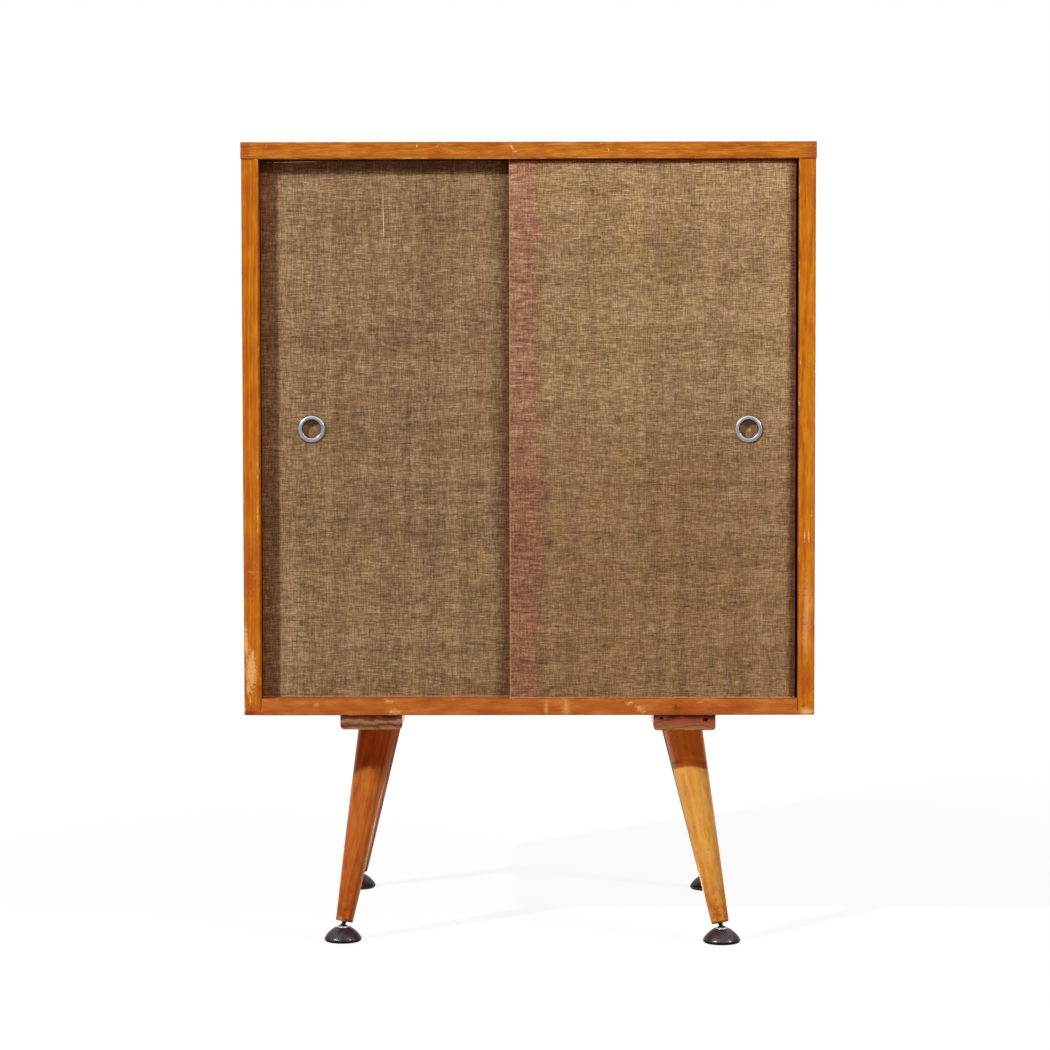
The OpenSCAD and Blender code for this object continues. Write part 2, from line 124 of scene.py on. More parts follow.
# Colours are written as they look on a screen, from 0 to 255


def shade(red, green, blue):
    parts = [c / 255 for c in (red, green, blue)]
    return tuple(c / 12.92 if c <= 0.04045 else ((c + 0.055) / 1.055) ** 2.4 for c in parts) + (1,)


def finish(name, **fixed):
    """A new material, with the numbers that are the same all over it."""
    material = bpy.data.materials.new(name)
    material.use_nodes = True
    shader = material.node_tree.nodes["Principled BSDF"]
    for socket, number in fixed.items():
        shader.inputs[socket.replace("_", " ")].default_value = number
    return material, material.node_tree, shader


def plug(tree, socket, given):
    if isinstance(given, bpy.types.NodeSocket):
        tree.links.new(given, socket)
    else:
        socket.default_value = given


def add(tree, kind, inputs, **settings):
    node = tree.nodes.new("ShaderNode" + kind)
    for name, setting in settings.items():
        setattr(node, name, setting)
    for name, given in inputs.items():
        plug(tree, node.inputs[name], given)
    return node


def spot_of(tree):
    """Where the point lies in the frame of the part, in metres."""
    return add(tree, "TexCoord", {}).outputs["Object"]


def stretch(tree, place, scale, shift=(0, 0, 0)):
    return add(tree, "Mapping", {"Vector": place, "Scale": scale, "Location": shift}).outputs[0]


def noise(tree, place, scale=1.0, detail=2.0, roughness=0.5, distortion=0.0):
    inputs = {"Vector": place, "Scale": scale, "Detail": detail, "Roughness": roughness,
              "Distortion": distortion}
    return add(tree, "TexNoise", inputs).outputs[0]


def work(tree, operation, first, second=0.0, third=0.0):
    return add(tree, "Math", {0: first, 1: second, 2: third}, operation=operation).outputs[0]


def rise(tree, value, low, high, start=0.0, end=1.0):
    """A soft step from start to end as value goes from low to high."""
    inputs = {"Value": value, "From Min": low, "From Max": high, "To Min": start, "To Max": end}
    return add(tree, "MapRange", inputs, interpolation_type="SMOOTHSTEP").outputs[0]


def ramp(tree, share, *stops):
    """Colours along a share from 0 to 1, each stop a place and a colour."""
    node = add(tree, "ValToRGB", {"Fac": share})
    band = node.color_ramp.elements
    while len(band) < len(stops):
        band.new(0.5)
    for element, (place, colour) in zip(band, stops):
        element.position = place
        element.color = colour
    return node.outputs[0]


def blend(tree, share, under, over, mode="MIX"):
    node = add(tree, "Mix", {}, data_type="RGBA", blend_type=mode)
    for socket, given in ((0, share), (6, under), (7, over)):
        plug(tree, node.inputs[socket], given)
    return node.outputs[2]


def bump(tree, shader, height, distance, strength=1.0):
    node = add(tree, "Bump", {"Height": height, "Distance": distance, "Strength": strength})
    tree.links.new(node.outputs[0], shader.inputs["Normal"])


# How deep the known marks on a front go, in millimetres
spot_depth = 2.5


def spots(tree, place, marks, ragged, edge=0.5, front=None):
    """Share of a few known spots on a front, each x, z, half width, half height and turn.
    Without front they run through the whole piece; with it they stay close behind that place."""
    whole = 0.0
    at, deep = (0.0, 1e4) if front is None else (front, spot_depth * MM)
    for x, z, half_w, half_h, turn in marks:
        inputs = {"Vector": place, "Location": (x * MM, at, z * MM),
                  "Rotation": (0, radians(-turn), 0), "Scale": (half_w * MM, deep, half_h * MM)}
        local = add(tree, "Mapping", inputs, vector_type="TEXTURE").outputs[0]
        away = add(tree, "VectorMath", {0: local}, operation="LENGTH").outputs["Value"]
        away = work(tree, "ADD", away, ragged)
        whole = work(tree, "MAXIMUM", whole, rise(tree, away, 1.0, edge, 0.0, 1.0))
    return whole


def near_arris(tree, place, low, high, reach):
    """From 0 on a face to 1 on the nearest arris of a board between two corners."""
    middle, half = (low + high) / 2, (high - low) / 2
    from_middle = add(tree, "VectorMath", {0: place, 1: middle}, operation="SUBTRACT").outputs[0]
    outwards = add(tree, "VectorMath", {0: from_middle}, operation="ABSOLUTE").outputs[0]
    inset = add(tree, "VectorMath", {0: outwards, 1: half}, operation="SUBTRACT").outputs[0]
    x, y, z = add(tree, "SeparateXYZ", {0: inset}).outputs
    inner = work(tree, "MINIMUM", work(tree, "MAXIMUM", x, y), z)
    second = work(tree, "MAXIMUM", work(tree, "MINIMUM", x, y), inner)
    return rise(tree, second, -reach, -0.1 * reach)


def growth(tree, place, along, pith, per_metre):
    """Uneven growth rings round the heart of a tree, a share about one half."""
    away = add(tree, "VectorMath", {0: place, 1: Vector(pith) * MM}, operation="SUBTRACT").outputs[0]
    slow = tuple(4 if i == along else 22 for i in range(3))
    waver = add(tree, "TexNoise", {"Vector": stretch(tree, away, slow), "Scale": 1.0,
                                   "Detail": 2.0}).outputs[1]
    away = add(tree, "VectorMath", {0: waver, 1: (0.016, 0.016, 0.016), 2: away},
               operation="MULTIPLY_ADD").outputs[0]
    across = tuple(0 if i == along else 1 for i in range(3))
    radius = add(tree, "VectorMath", {0: stretch(tree, away, across)}, operation="LENGTH")
    radius = radius.outputs["Value"]
    return add(tree, "TexNoise", {"W": radius, "Scale": per_metre, "Detail": 2.0, "Roughness": 0.6},
               noise_dimensions="1D").outputs[0]


def grain_figure(tree, place, along, pith):
    """Growth rings, fine fibres and soft blotches of a board, each a share about one half."""
    def scaled(lengthwise, across):
        return tuple(lengthwise if i == along else across for i in range(3))

    rings = growth(tree, place, along, pith, 330.0)
    fibres = noise(tree, stretch(tree, place, scaled(70, 760)), 1.0, 2.0, 0.6)
    blotches = noise(tree, stretch(tree, place, scaled(34, 110)), 1.0, 2.0, 0.55)
    return rings, fibres, blotches


def off_half(tree, start, *parts):
    """Adds up shares that lie about one half, each with its weight."""
    whole = start
    for part, weight in parts:
        whole = work(tree, "MULTIPLY_ADD", work(tree, "SUBTRACT", part, 0.5), weight, whole)
    return whole


def lacquered_maple(name, along, pith, tones, board, weights=(0.7, 0.8, 0.9), bare=(), washed=(),
                    stained=(), dark=()):
    """Aged amber lacquer over maple, with the wear of one board.
    tones are deep, middle and light; weights are those of rings, fibres and blotches; bare,
    washed, stained and dark are its known marks."""
    material, tree, shader = finish(name, Coat_Weight=0.12, Coat_Roughness=0.2,
                                    Specular_IOR_Level=0.35)
    place = spot_of(tree)
    rings, fibres, blotches = grain_figure(tree, place, along, pith)
    share = off_half(tree, 0.5, (rings, weights[0]), (fibres, weights[1]), (blotches, weights[2]))
    deep, middle, light = tones
    colour = ramp(tree, share, (0.14, deep), (0.5, middle), (0.86, light))
    clouds = noise(tree, stretch(tree, place, (21, 21, 21), (3.3, 1.7, 0.4)), 1.0, 3.0, 0.6)
    colour = blend(tree, rise(tree, clouds, 0.52, 0.68, 0.0, 0.4), colour, shade(178, 76, 16))
    fine = noise(tree, place, 420.0, 3.0, 0.6)
    ragged = off_half(tree, 0.0, (fine, 2.6))
    flecks = noise(tree, stretch(tree, place, tuple(240 if i == along else 900 for i in range(3))),
                   1.0, 1.0, 0.5)
    colour = blend(tree, rise(tree, flecks, 0.68, 0.78, 0.0, 0.4), colour, deep, "MULTIPLY")
    low, high = board
    if stained:
        stain = work(tree, "MULTIPLY", spots(tree, place, stained, ragged, 0.0, low.y), 0.6)
        colour = blend(tree, stain, colour, shade(166, 62, 18))
    if dark:
        blot = work(tree, "MULTIPLY", spots(tree, place, dark, ragged, 0.2, low.y), 0.75)
        colour = blend(tree, blot, colour, shade(104, 46, 12))
    arris = near_arris(tree, place, low, high, 1.3 * MM)
    scuffs = noise(tree, place, 90.0, 4.0, 0.65)
    grime = work(tree, "MULTIPLY", arris, rise(tree, scuffs, 0.6, 0.42, 0.15, 0.85))
    colour = blend(tree, grime, colour, shade(92, 44, 12))
    worn = 0.0
    if washed:
        worn = work(tree, "MULTIPLY", spots(tree, place, washed, ragged, 0.0, low.y), 0.6)
    if bare:
        worn = work(tree, "MAXIMUM", worn, spots(tree, place, bare, ragged, 0.5, low.y))
    rubbed = work(tree, "MULTIPLY", arris, rise(tree, scuffs, 0.60, 0.66, 0.0, 0.8))
    worn = work(tree, "MAXIMUM", worn, rubbed)
    pale = ramp(tree, fine, (0.3, shade(212, 140, 66)), (0.7, shade(240, 186, 120)))
    colour = blend(tree, worn, colour, pale)
    tree.links.new(colour, shader.inputs["Base Color"])
    sheen = off_half(tree, 0.36, (fibres, 0.2))
    tree.links.new(work(tree, "MULTIPLY_ADD", worn, 0.28, sheen), shader.inputs["Roughness"])
    height = off_half(tree, 0.0, (fibres, 0.5), (rings, 0.3))
    height = work(tree, "SUBTRACT", height, work(tree, "MULTIPLY", worn, 0.9))
    bump(tree, shader, height, 0.12 * MM)
    return material


AMBER = (shade(160, 82, 10), shade(188, 106, 20), shade(212, 134, 44))
AMBER_LEFT = (shade(168, 78, 2), shade(194, 105, 4), shade(213, 131, 16))
AMBER_RIGHT = (shade(174, 88, 0), shade(198, 112, 2), shade(214, 137, 12))
AMBER_RED = (shade(156, 71, 16), shade(182, 96, 26), shade(206, 125, 57))


def dress(node, material):
    """Gives a CAD node its material."""
    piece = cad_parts[node]
    if not piece.material_slots:
        piece.data.materials.append(material)
    for place in piece.material_slots:
        place.material = material


top_maple = lacquered_maple(
    "top_maple", 0, (60, 40, 700), AMBER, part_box("top_panel"), (0.9, 1.2, 1.0),
    bare=[(-17.4, 858.4, 5.6, 1.2, -58), (-14.0, 853.7, 3.4, 1.0, 8), (-127, 846.8, 9, 0.5, 0),
          (-110, 847.0, 4, 0.6, 0), (-40, 846.6, 42, 0.45, 0), (14, 846.8, 6, 0.45, 0),
          (63, 847.0, 14, 0.5, 0), (-118.1, 859.7, 1.2, 1.6, 0), (76.7, 862.3, 1.2, 0.9, 0),
          (84.7, 855.4, 0.6, 3.5, 8)],
    washed=[(35, 861.6, 34, 1.4, 0), (-96, 859.7, 4, 1.5, 0)],
    stained=[(301, 855, 11, 16, 0), (-300, 856, 8, 14, 0), (-280, 861, 18, 4, 0)],
    dark=[(226, 860.2, 7, 0.8, -10), (-34, 863.4, 12, 0.8, 0), (34, 863.6, 16, 0.7, 0)])
left_maple = lacquered_maple(
    "left_side_maple", 2, (-420, -150, 0), AMBER_LEFT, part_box("left_side"), (0.9, 0.5, 0.9),
    bare=[(-302.0, 332, 2.4, 24, 2), (-297.0, 302, 6.6, 24, 0), (-297.8, 271, 0.9, 6, 0),
          (-294.8, 318, 2.0, 8, 0), (-300, 283, 2.0, 9, 4), (-303.6, 260.5, 1.0, 2.5, 0),
          (-288.9, 522.5, 0.6, 1.6, 0), (-288.9, 509.6, 0.7, 3, 0), (-289.0, 475.4, 0.6, 4.5, 0),
          (-288.9, 465.8, 0.6, 3.4, 0), (-289.0, 452, 0.6, 2.2, 0), (-296, 407.9, 7.5, 0.35, 0),
          (-304.1, 641, 0.6, 2.2, 0), (-304.1, 365, 0.6, 2.4, 0)],
    stained=[(-296, 258, 14, 12, 0), (-297, 400, 10, 40, 0)],
    dark=[(-300, 315, 3.6, 0.8, 0), (-297, 256.6, 9, 3.0, 0)])
right_maple = lacquered_maple(
    "right_side_maple", 2, (390, -40, 0), AMBER_RIGHT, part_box("right_side"), (0.9, 0.8, 0.9),
    bare=[(288.2, 630.5, 0.7, 3.2, 0), (287.0, 586.9, 0.9, 2.3, 0), (293.3, 446, 0.9, 8, 0),
          (297.5, 446, 1.1, 9, 0), (300.6, 467.4, 2.0, 0.5, 0), (296, 257.6, 8.5, 3.6, 0)],
    washed=[(296, 368, 6.5, 50, 0), (295, 340, 5, 34, 0), (296, 259, 9, 6, 0)],
    stained=[(295, 287, 11, 28, 0), (293, 264, 5, 4, 0)], dark=[(293, 264.2, 2.4, 1.9, 0)])
bottom_maple = lacquered_maple(
    "bottom_maple", 0, (-80, 60, 120), AMBER_RED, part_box("bottom_panel"), (0.5, 0.3, 1.0),
    bare=[(-151, 269.6, 2.6, 0.9, 0), (-147.5, 258.0, 2.2, 1.6, 12), (-139.5, 257.6, 2.0, 1.3, -8),
          (107.3, 267.4, 2.4, 1.0, 10), (117, 262.4, 1.8, 1.6, 0), (122.6, 257.6, 2.6, 0.8, 20)],
    washed=[(39.4, 262, 6, 14, 0), (18, 262, 3.6, 12, 0), (-227, 265.4, 5, 4, 0), (182, 268, 5, 2, 0),
            (-150, 268.8, 7, 3.4, 0), (-144, 258.6, 10, 4.4, 0), (107, 267, 7, 3.4, 10),
            (118, 261, 8, 6, -30)],
    stained=[(180, 260, 60, 9, 0), (-40, 258, 30, 6, 0)],
    dark=[(157, 261, 4.4, 6, 14)])


def end_grain_maple(name, pith, board, bands, spots_seen):
    """Lacquered maple of a leg rail, with long grain on its sides and banded ends.
    bands are shares of its height and their colours, from the lower edge up; they hold painted light and
    shade, with a painted shadow of the case at the top."""
    material, tree, shader = finish(name, Coat_Weight=0.5, Coat_Roughness=0.12)
    place = spot_of(tree)
    rings, fibres, blotches = grain_figure(tree, place, 1, pith)
    share = off_half(tree, 0.5, (rings, 0.8), (fibres, 0.6), (blotches, 0.8))
    long_grain = ramp(tree, share, (0.1, shade(132, 60, 14)), (0.5, shade(176, 92, 26)),
                      (0.9, shade(200, 120, 48)))
    low, high = board
    y, z = add(tree, "SeparateXYZ", {0: place}).outputs[1:]
    roll = noise(tree, stretch(tree, place, (55, 0, 60), (0.7, 0, 2.1)), 1.0, 2.0, 0.5)
    level = work(tree, "DIVIDE", work(tree, "SUBTRACT", z, low.z), high.z - low.z)
    level = off_half(tree, level, (roll, 0.5), (fibres, 0.16))
    ends = ramp(tree, level, *bands)
    ends = blend(tree, rise(tree, rings, 0.54, 0.68, 0.0, 0.4), ends, shade(150, 64, 34))
    if spots_seen:
        ragged = off_half(tree, 0.0, (fibres, 1.4))
        ends = blend(tree, spots(tree, place, spots_seen, ragged), ends, shade(36, 24, 22))
    middle, half = (low.y + high.y) / 2, (high.y - low.y) / 2
    off_middle = work(tree, "ABSOLUTE", work(tree, "SUBTRACT", y, middle))
    at_end = rise(tree, off_middle, half - 0.5 * MM, half - 0.2 * MM)
    tree.links.new(blend(tree, at_end, long_grain, ends), shader.inputs["Base Color"])
    tree.links.new(off_half(tree, 0.26, (fibres, 0.2)), shader.inputs["Roughness"])
    bump(tree, shader, off_half(tree, 0.0, (fibres, 0.6), (rings, 0.5)), 0.1 * MM)
    return material


# What the colour of a leg is multiplied by towards its foot
LOW_LEG_TONE = (0.9, 0.76, 0.62, 1)


def turned_maple(name, side, fore, tones, weights, speckled, painted_case_shade):
    """Maple of one leg, with its grain along the leg, painted shade under the case and a painted dark line
    at the foot.
    """
    material, tree, shader = finish(name, Coat_Weight=0.45, Coat_Roughness=0.05,
                                    Specular_IOR_Level=0.2)
    origin, lean = leg_frame(side, fore)
    place = add(tree, "Mapping", {"Vector": spot_of(tree), "Location": origin, "Rotation": lean},
                vector_type="TEXTURE").outputs[0]
    rings, fibres, blotches = grain_figure(tree, place, 2, (34 * side, 30, 0))
    share = off_half(tree, 0.5, (rings, weights[0]), (fibres, weights[1]), (blotches, weights[2]))
    deep, middle, light = tones
    colour = ramp(tree, share, (0.15, deep), (0.5, middle), (0.85, light))
    flecks = noise(tree, stretch(tree, place, (620, 620, 330)), 1.0, 1.0, 0.5)
    colour = blend(tree, rise(tree, flecks, 0.68, 0.75, 0.0, speckled), colour, deep, "MULTIPLY")
    x, y, z = add(tree, "SeparateXYZ", {0: spot_of(tree)}).outputs
    lean_x = side * tan(radians(splay_side[side]))
    off_axis = work(tree, "MULTIPLY_ADD", z, lean_x,
                    work(tree, "SUBTRACT", x, (leg_x[side] + lean_x * rail_z) * MM))
    # Painted shade: the upper front of the leg takes the tone of the case's shadow, with a lower edge that
    # arches as that shadow does on a round leg.
    arched = work(tree, "MULTIPLY_ADD", work(tree, "MULTIPLY", off_axis, off_axis), 14.0, z)
    shaded = rise(tree, arched, 189 * MM, 192 * MM)
    lean_y = fore * tan(radians(splay_fore))
    ahead = work(tree, "MULTIPLY_ADD", z, lean_y,
                 work(tree, "SUBTRACT", y, (rail_y[side] + fore * leg_y + lean_y * rail_z) * MM))
    under, band = painted_case_shade
    facing = work(tree, "MULTIPLY", shaded, rise(tree, ahead, 7 * MM, -2 * MM))
    colour = blend(tree, facing, colour, under, "MULTIPLY")
    # Painted shadow: a band below that shade, where the lamp's real shadow stops short of it.
    if band:
        banded = work(tree, "MULTIPLY", rise(tree, arched, 200.5 * MM, 196.5 * MM),
                      rise(tree, ahead, -5 * MM, -9 * MM))
        colour = blend(tree, work(tree, "MULTIPLY", banded, shaded), colour, band, "MULTIPLY")
    height = add(tree, "SeparateXYZ", {0: place}).outputs[2]
    knocks = noise(tree, place, 150.0, 3.0, 0.6)
    length = leg_len[side]
    low_part = rise(tree, height, (90 - length) * MM, (10 - length) * MM)
    colour = blend(tree, low_part, colour, LOW_LEG_TONE, "MULTIPLY")
    foot = work(tree, "MULTIPLY", rise(tree, height, (56 - length) * MM, (6 - length) * MM),
                rise(tree, knocks, 0.40, 0.6))
    colour = blend(tree, work(tree, "MULTIPLY", foot, 0.55), colour, shade(140, 56, 14))
    # Painted shade: a dark line round the very end of the foot, over the gap to the glide.
    lip = rise(tree, height, (3.4 - length) * MM, (1.2 - length) * MM)
    colour = blend(tree, work(tree, "MULTIPLY", lip, 0.75), colour, shade(70, 30, 18))
    rubbed = work(tree, "MULTIPLY", rise(tree, height, (8 - length) * MM, (2 - length) * MM),
                  rise(tree, knocks, 0.54, 0.62))
    colour = blend(tree, work(tree, "MULTIPLY", rubbed, 0.5), colour, shade(220, 150, 100))
    tree.links.new(colour, shader.inputs["Base Color"])
    tree.links.new(off_half(tree, 0.34, (fibres, 0.12)), shader.inputs["Roughness"])
    bump(tree, shader, off_half(tree, 0.0, (fibres, 0.5), (foot, -0.5)), 0.06 * MM)
    return material


rail_maple = {}
# Painted light and shade: the highest band of each rail end is the painted shadow of the case, and the
# other bands are painted brighter to make up for the light that the shaded ends lack.
RAIL_BANDS = {
    "left": ((0.01, shade(255, 210, 158)), (0.10, shade(244, 162, 106)), (0.20, shade(172, 80, 42)),
             (0.30, shade(252, 172, 118)), (0.41, shade(255, 218, 170)), (0.49, shade(208, 110, 66)),
             (0.60, shade(170, 68, 32)), (0.68, shade(108, 20, 6))),
    "right": ((0.01, shade(230, 112, 62)), (0.09, shade(255, 210, 144)), (0.19, shade(255, 164, 106)),
              (0.34, shade(255, 154, 98)), (0.48, shade(248, 128, 80)), (0.59, shade(208, 86, 50)),
              (0.68, shade(110, 20, 6))),
}
RAIL_SPOTS = {"left": [], "right": [(142.3, 245.2, 3.0, 2.0, 0), (190.2, 243.6, 3.6, 2.2, 0)]}
for side, name in ((-1, "left"), (1, "right")):
    rail_maple[name] = end_grain_maple(
        f"{name}_rail_maple", (rail_x[side] + 12 * side, 0, rail_z - 60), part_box(f"{name}_leg_rail"),
        RAIL_BANDS[name], RAIL_SPOTS[name])

LEG_RED = (shade(150, 65, 14), shade(182, 94, 28), shade(203, 120, 42))
LEG_PALE = (shade(192, 121, 38), shade(220, 152, 64), shade(234, 176, 100))
# Painted shade of the case on the legs, as tones the legs are multiplied by, and a painted shadow band
# along its lower edge
SHADED_RED = ((1.22, 0.7, 0.06, 1), None)
SHADED_REAR = ((1.0, 0.84, 0.6, 1), None)
SHADED_GOLD = ((1.2, 0.58, 0.17, 1), (0.42, 0.38, 0.48, 1))
LEG_LOOKS = {
    "front_left": (LEG_RED, (0.5, 0.3, 1.0), 0.3, SHADED_RED),
    "front_right": (LEG_PALE, (0.3, 0.5, 0.9), 0.6, SHADED_GOLD),
    "rear_left": (AMBER_LEFT, (0.5, 0.5, 0.8), 0.4, SHADED_REAR),
    "rear_right": (AMBER_RIGHT, (0.5, 0.5, 0.8), 0.4, SHADED_REAR),
}
leg_maple = {name: turned_maple(f"{name}_leg_maple", side, fore, *LEG_LOOKS[name])
             for name, side, fore in CORNERS}


def birch_plywood(name, board, thin_axis, plies):
    """Clear coated birch plywood: a plain face with plies along its edges."""
    material, tree, shader = finish(name, Coat_Weight=0.15, Coat_Roughness=0.3)
    place = spot_of(tree)
    rings, fibres, blotches = grain_figure(tree, place, 0, (40, 900, 500))
    share = off_half(tree, 0.5, (rings, 0.9), (fibres, 0.4), (blotches, 0.5))
    face = ramp(tree, share, (0.2, shade(176, 132, 84)), (0.5, shade(200, 160, 110)),
                (0.8, shade(214, 180, 134)))
    low, high = board
    x, y, z = add(tree, "SeparateXYZ", {0: place}).outputs
    through = (x, y, z)[thin_axis]
    depth = work(tree, "SUBTRACT", through, low[thin_axis])
    pairs = plies / 2 / (high[thin_axis] - low[thin_axis])
    ply = work(tree, "FRACT", work(tree, "MULTIPLY", depth, pairs))
    bands = ramp(tree, ply, (0.47, shade(206, 168, 118)), (0.53, shade(148, 104, 62)))
    edge = 0.0
    for axis, at in ((0, x), (1, y), (2, z)):
        if axis != thin_axis:
            for limit in (low[axis], high[axis]):
                off = work(tree, "ABSOLUTE", work(tree, "SUBTRACT", at, limit))
                edge = work(tree, "MAXIMUM", edge, rise(tree, off, 0.3 * MM, 0.1 * MM))
    tree.links.new(blend(tree, edge, face, bands), shader.inputs["Base Color"])
    tree.links.new(off_half(tree, 0.5, (fibres, 0.2)), shader.inputs["Roughness"])
    bump(tree, shader, fibres, 0.06 * MM)
    return material


def pressed_board(name):
    """Tan board of the doors, with its fine felted fibres."""
    material, tree, shader = finish(name, Specular_IOR_Level=0.35)
    place = spot_of(tree)
    fibres = noise(tree, stretch(tree, place, (900, 900, 240)), 1.0, 4.0, 0.7)
    clouds = noise(tree, place, 60.0, 3.0, 0.6)
    share = work(tree, "MULTIPLY_ADD", fibres, 0.6, work(tree, "MULTIPLY", clouds, 0.4))
    colour = ramp(tree, share, (0.3, shade(112, 78, 48)), (0.5, shade(146, 106, 68)),
                  (0.7, shade(172, 132, 92)))
    ragged = off_half(tree, 0.0, (fibres, 0.8))
    # Pale spots in the floor of each pull's recess, right of its middle, the left one with a dark dot.
    pale_spots = spots(tree, place, [(-228.7, 559.6, 2.3, 2.3, 0), (235.2, 558.0, 1.7, 2.7, 0)], ragged)
    colour = blend(tree, work(tree, "MULTIPLY", pale_spots, 0.8), colour, shade(214, 164, 98))
    dark_dot = spots(tree, place, [(-228.6, 559.6, 1.2, 1.2, 0)], 0.0)
    colour = blend(tree, work(tree, "MULTIPLY", dark_dot, 0.8), colour, shade(104, 64, 30))
    tree.links.new(colour, shader.inputs["Base Color"])
    tree.links.new(work(tree, "MULTIPLY_ADD", fibres, 0.25, 0.55), shader.inputs["Roughness"])
    bump(tree, shader, fibres, 0.1 * MM)
    return material


def grass_cloth(name, seed, tint, falls, painted_shade_margins, faded, bare_threads, raw_edge, painted_ring_shadow):
    """Woven facing: an uneven grid of horizontal weft and upright warp.
    falls are heights and the tones that the cloth is multiplied by, from low to high. The
    margins, as axis, place, direction, reach and tone, are painted shade where the sides, the top
    and the other door cast shadow. faded is the edge and the width of a sun-bleached strip, or None.
    bare_threads are pale places. raw_edge are cut edges as axis, place and direction. The ring list is a
    painted shadow round the pull."""
    material, tree, shader = finish(name, Specular_IOR_Level=0.2)
    place = spot_of(tree)
    moved = stretch(tree, place, (1, 1, 1), (seed, 0, seed * 0.37))
    wander = noise(tree, stretch(tree, moved, (12, 12, 30)), 1.0, 2.0, 0.5)
    wander = work(tree, "MULTIPLY", work(tree, "SUBTRACT", wander, 0.5), 5 * MM)
    drawn = add(tree, "VectorMath", {0: moved, 1: add(tree, "CombineXYZ", {2: wander}).outputs[0]},
                operation="ADD").outputs[0]
    weft = noise(tree, stretch(tree, drawn, (80, 80, 1000)), 1.0, 1.0, 0.5)
    warp = noise(tree, stretch(tree, moved, (820, 820, 75)), 1.0, 1.0, 0.5)
    knots = noise(tree, stretch(tree, drawn, (560, 560, 820)), 1.0, 1.0, 0.5)
    slubs = noise(tree, stretch(tree, drawn, (70, 70, 520)), 1.0, 1.0, 0.5)
    patches = noise(tree, stretch(tree, moved, (28, 28, 24)), 1.0, 2.0, 0.5)
    bands = noise(tree, stretch(tree, moved, (60, 60, 2)), 1.0, 2.0, 0.6)
    rows = noise(tree, stretch(tree, moved, (3, 3, 70)), 1.0, 2.0, 0.6)
    share = off_half(tree, 0.5, (weft, 0.85), (warp, 0.68), (knots, 0.55), (bands, 0.32),
                     (rows, 0.28), (patches, 0.12))
    dark, middle, light = tint
    colour = ramp(tree, share, (0.08, dark), (0.5, middle), (0.92, light))
    hue = noise(tree, stretch(tree, moved, (64, 64, 9), (5.1, 0, 0)), 1.0, 2.0, 0.6)
    colour = blend(tree, rise(tree, hue, 0.50, 0.62, 0.0, 0.5), colour, (0.98, 1.0, 0.84, 1), "MULTIPLY")
    colour = blend(tree, rise(tree, hue, 0.48, 0.36, 0.0, 0.6), colour, (1.0, 0.94, 0.98, 1), "MULTIPLY")
    x, y, z = add(tree, "SeparateXYZ", {0: place}).outputs
    glints = rise(tree, slubs, 0.66, 0.76, 0.0, 0.5)
    colour = blend(tree, glints, colour, light)
    holes = rise(tree, slubs, 0.34, 0.25, 0.0, 0.6)
    colour = blend(tree, holes, colour, dark)
    if faded:
        edge, width = faded
        fray = noise(tree, stretch(tree, moved, (60, 60, 260)), 1.0, 3.0, 0.7)
        swing = noise(tree, stretch(tree, moved, (1, 1, 14)), 1.0, 2.0, 0.5)
        limit = off_half(tree, edge + width, (fray, 44 * MM), (swing, 22 * MM))
        bleached = rise(tree, work(tree, "SUBTRACT", x, limit), 4 * MM, -4 * MM)
        strong = off_half(tree, share, (slubs, 0.8), (knots, 0.2))
        pink = ramp(tree, strong, (0.05, shade(96, 58, 40)), (0.5, shade(149, 103, 76)),
                    (0.9, shade(196, 150, 118)))
        colour = blend(tree, work(tree, "MULTIPLY", bleached, 0.92), colour, pink)
    levels = work(tree, "DIVIDE", work(tree, "SUBTRACT", z, left_low.z), left_high.z - left_low.z)
    colour = blend(tree, 1.0, colour, ramp(tree, levels, *falls), "MULTIPLY")
    # Painted shade along the margins: the shadows of the sides, the top board and the front door, laid on
    # as darker tones.
    for axis, at, side, reach, tone in painted_shade_margins:
        off = work(tree, "MULTIPLY", work(tree, "SUBTRACT", (x, y, z)[axis], at), side)
        off = off_half(tree, off, (knots, 2.4 * MM))
        colour = blend(tree, rise(tree, off, reach * MM, 0.25 * reach * MM), colour, tone, "MULTIPLY")
    for axis, at, side in raw_edge:
        off = work(tree, "MULTIPLY", work(tree, "SUBTRACT", (x, y, z)[axis], at), side)
        frayed = rise(tree, off, 1.3 * MM, 0.5 * MM)
        frayed = work(tree, "MULTIPLY", frayed, rise(tree, knots, 0.36, 0.5, 0.25, 0.85))
        colour = blend(tree, frayed, colour, shade(196, 144, 108))
    # Painted shadow of the pull ring on the cloth: a dark rim set a little to the lower right.
    ring_shadow_share = work(tree, "MULTIPLY", spots(tree, place, painted_ring_shadow, 0.0, 0.88), 0.8)
    colour = blend(tree, ring_shadow_share, colour, (0.34, 0.28, 0.26, 1), "MULTIPLY")
    if bare_threads:
        ragged = off_half(tree, 0.0, (knots, 1.2))
        colour = blend(tree, spots(tree, place, bare_threads, ragged), colour, shade(222, 190, 152))
    tree.links.new(colour, shader.inputs["Base Color"])
    tree.links.new(off_half(tree, 0.8, (weft, 0.2)), shader.inputs["Roughness"])
    yarn = work(tree, "SINE", work(tree, "MULTIPLY", work(tree, "ADD", z, wander), 2 * pi / (2.2 * MM)))
    cross = work(tree, "SINE", work(tree, "MULTIPLY", x, 2 * pi / (2.3 * MM)))
    height = work(tree, "MULTIPLY_ADD", yarn, 0.14, work(tree, "MULTIPLY", cross, 0.12))
    height = off_half(tree, height, (weft, 0.9), (warp, 0.6), (knots, 0.6))
    bump(tree, shader, height, 0.45 * MM, 0.8)
    return material


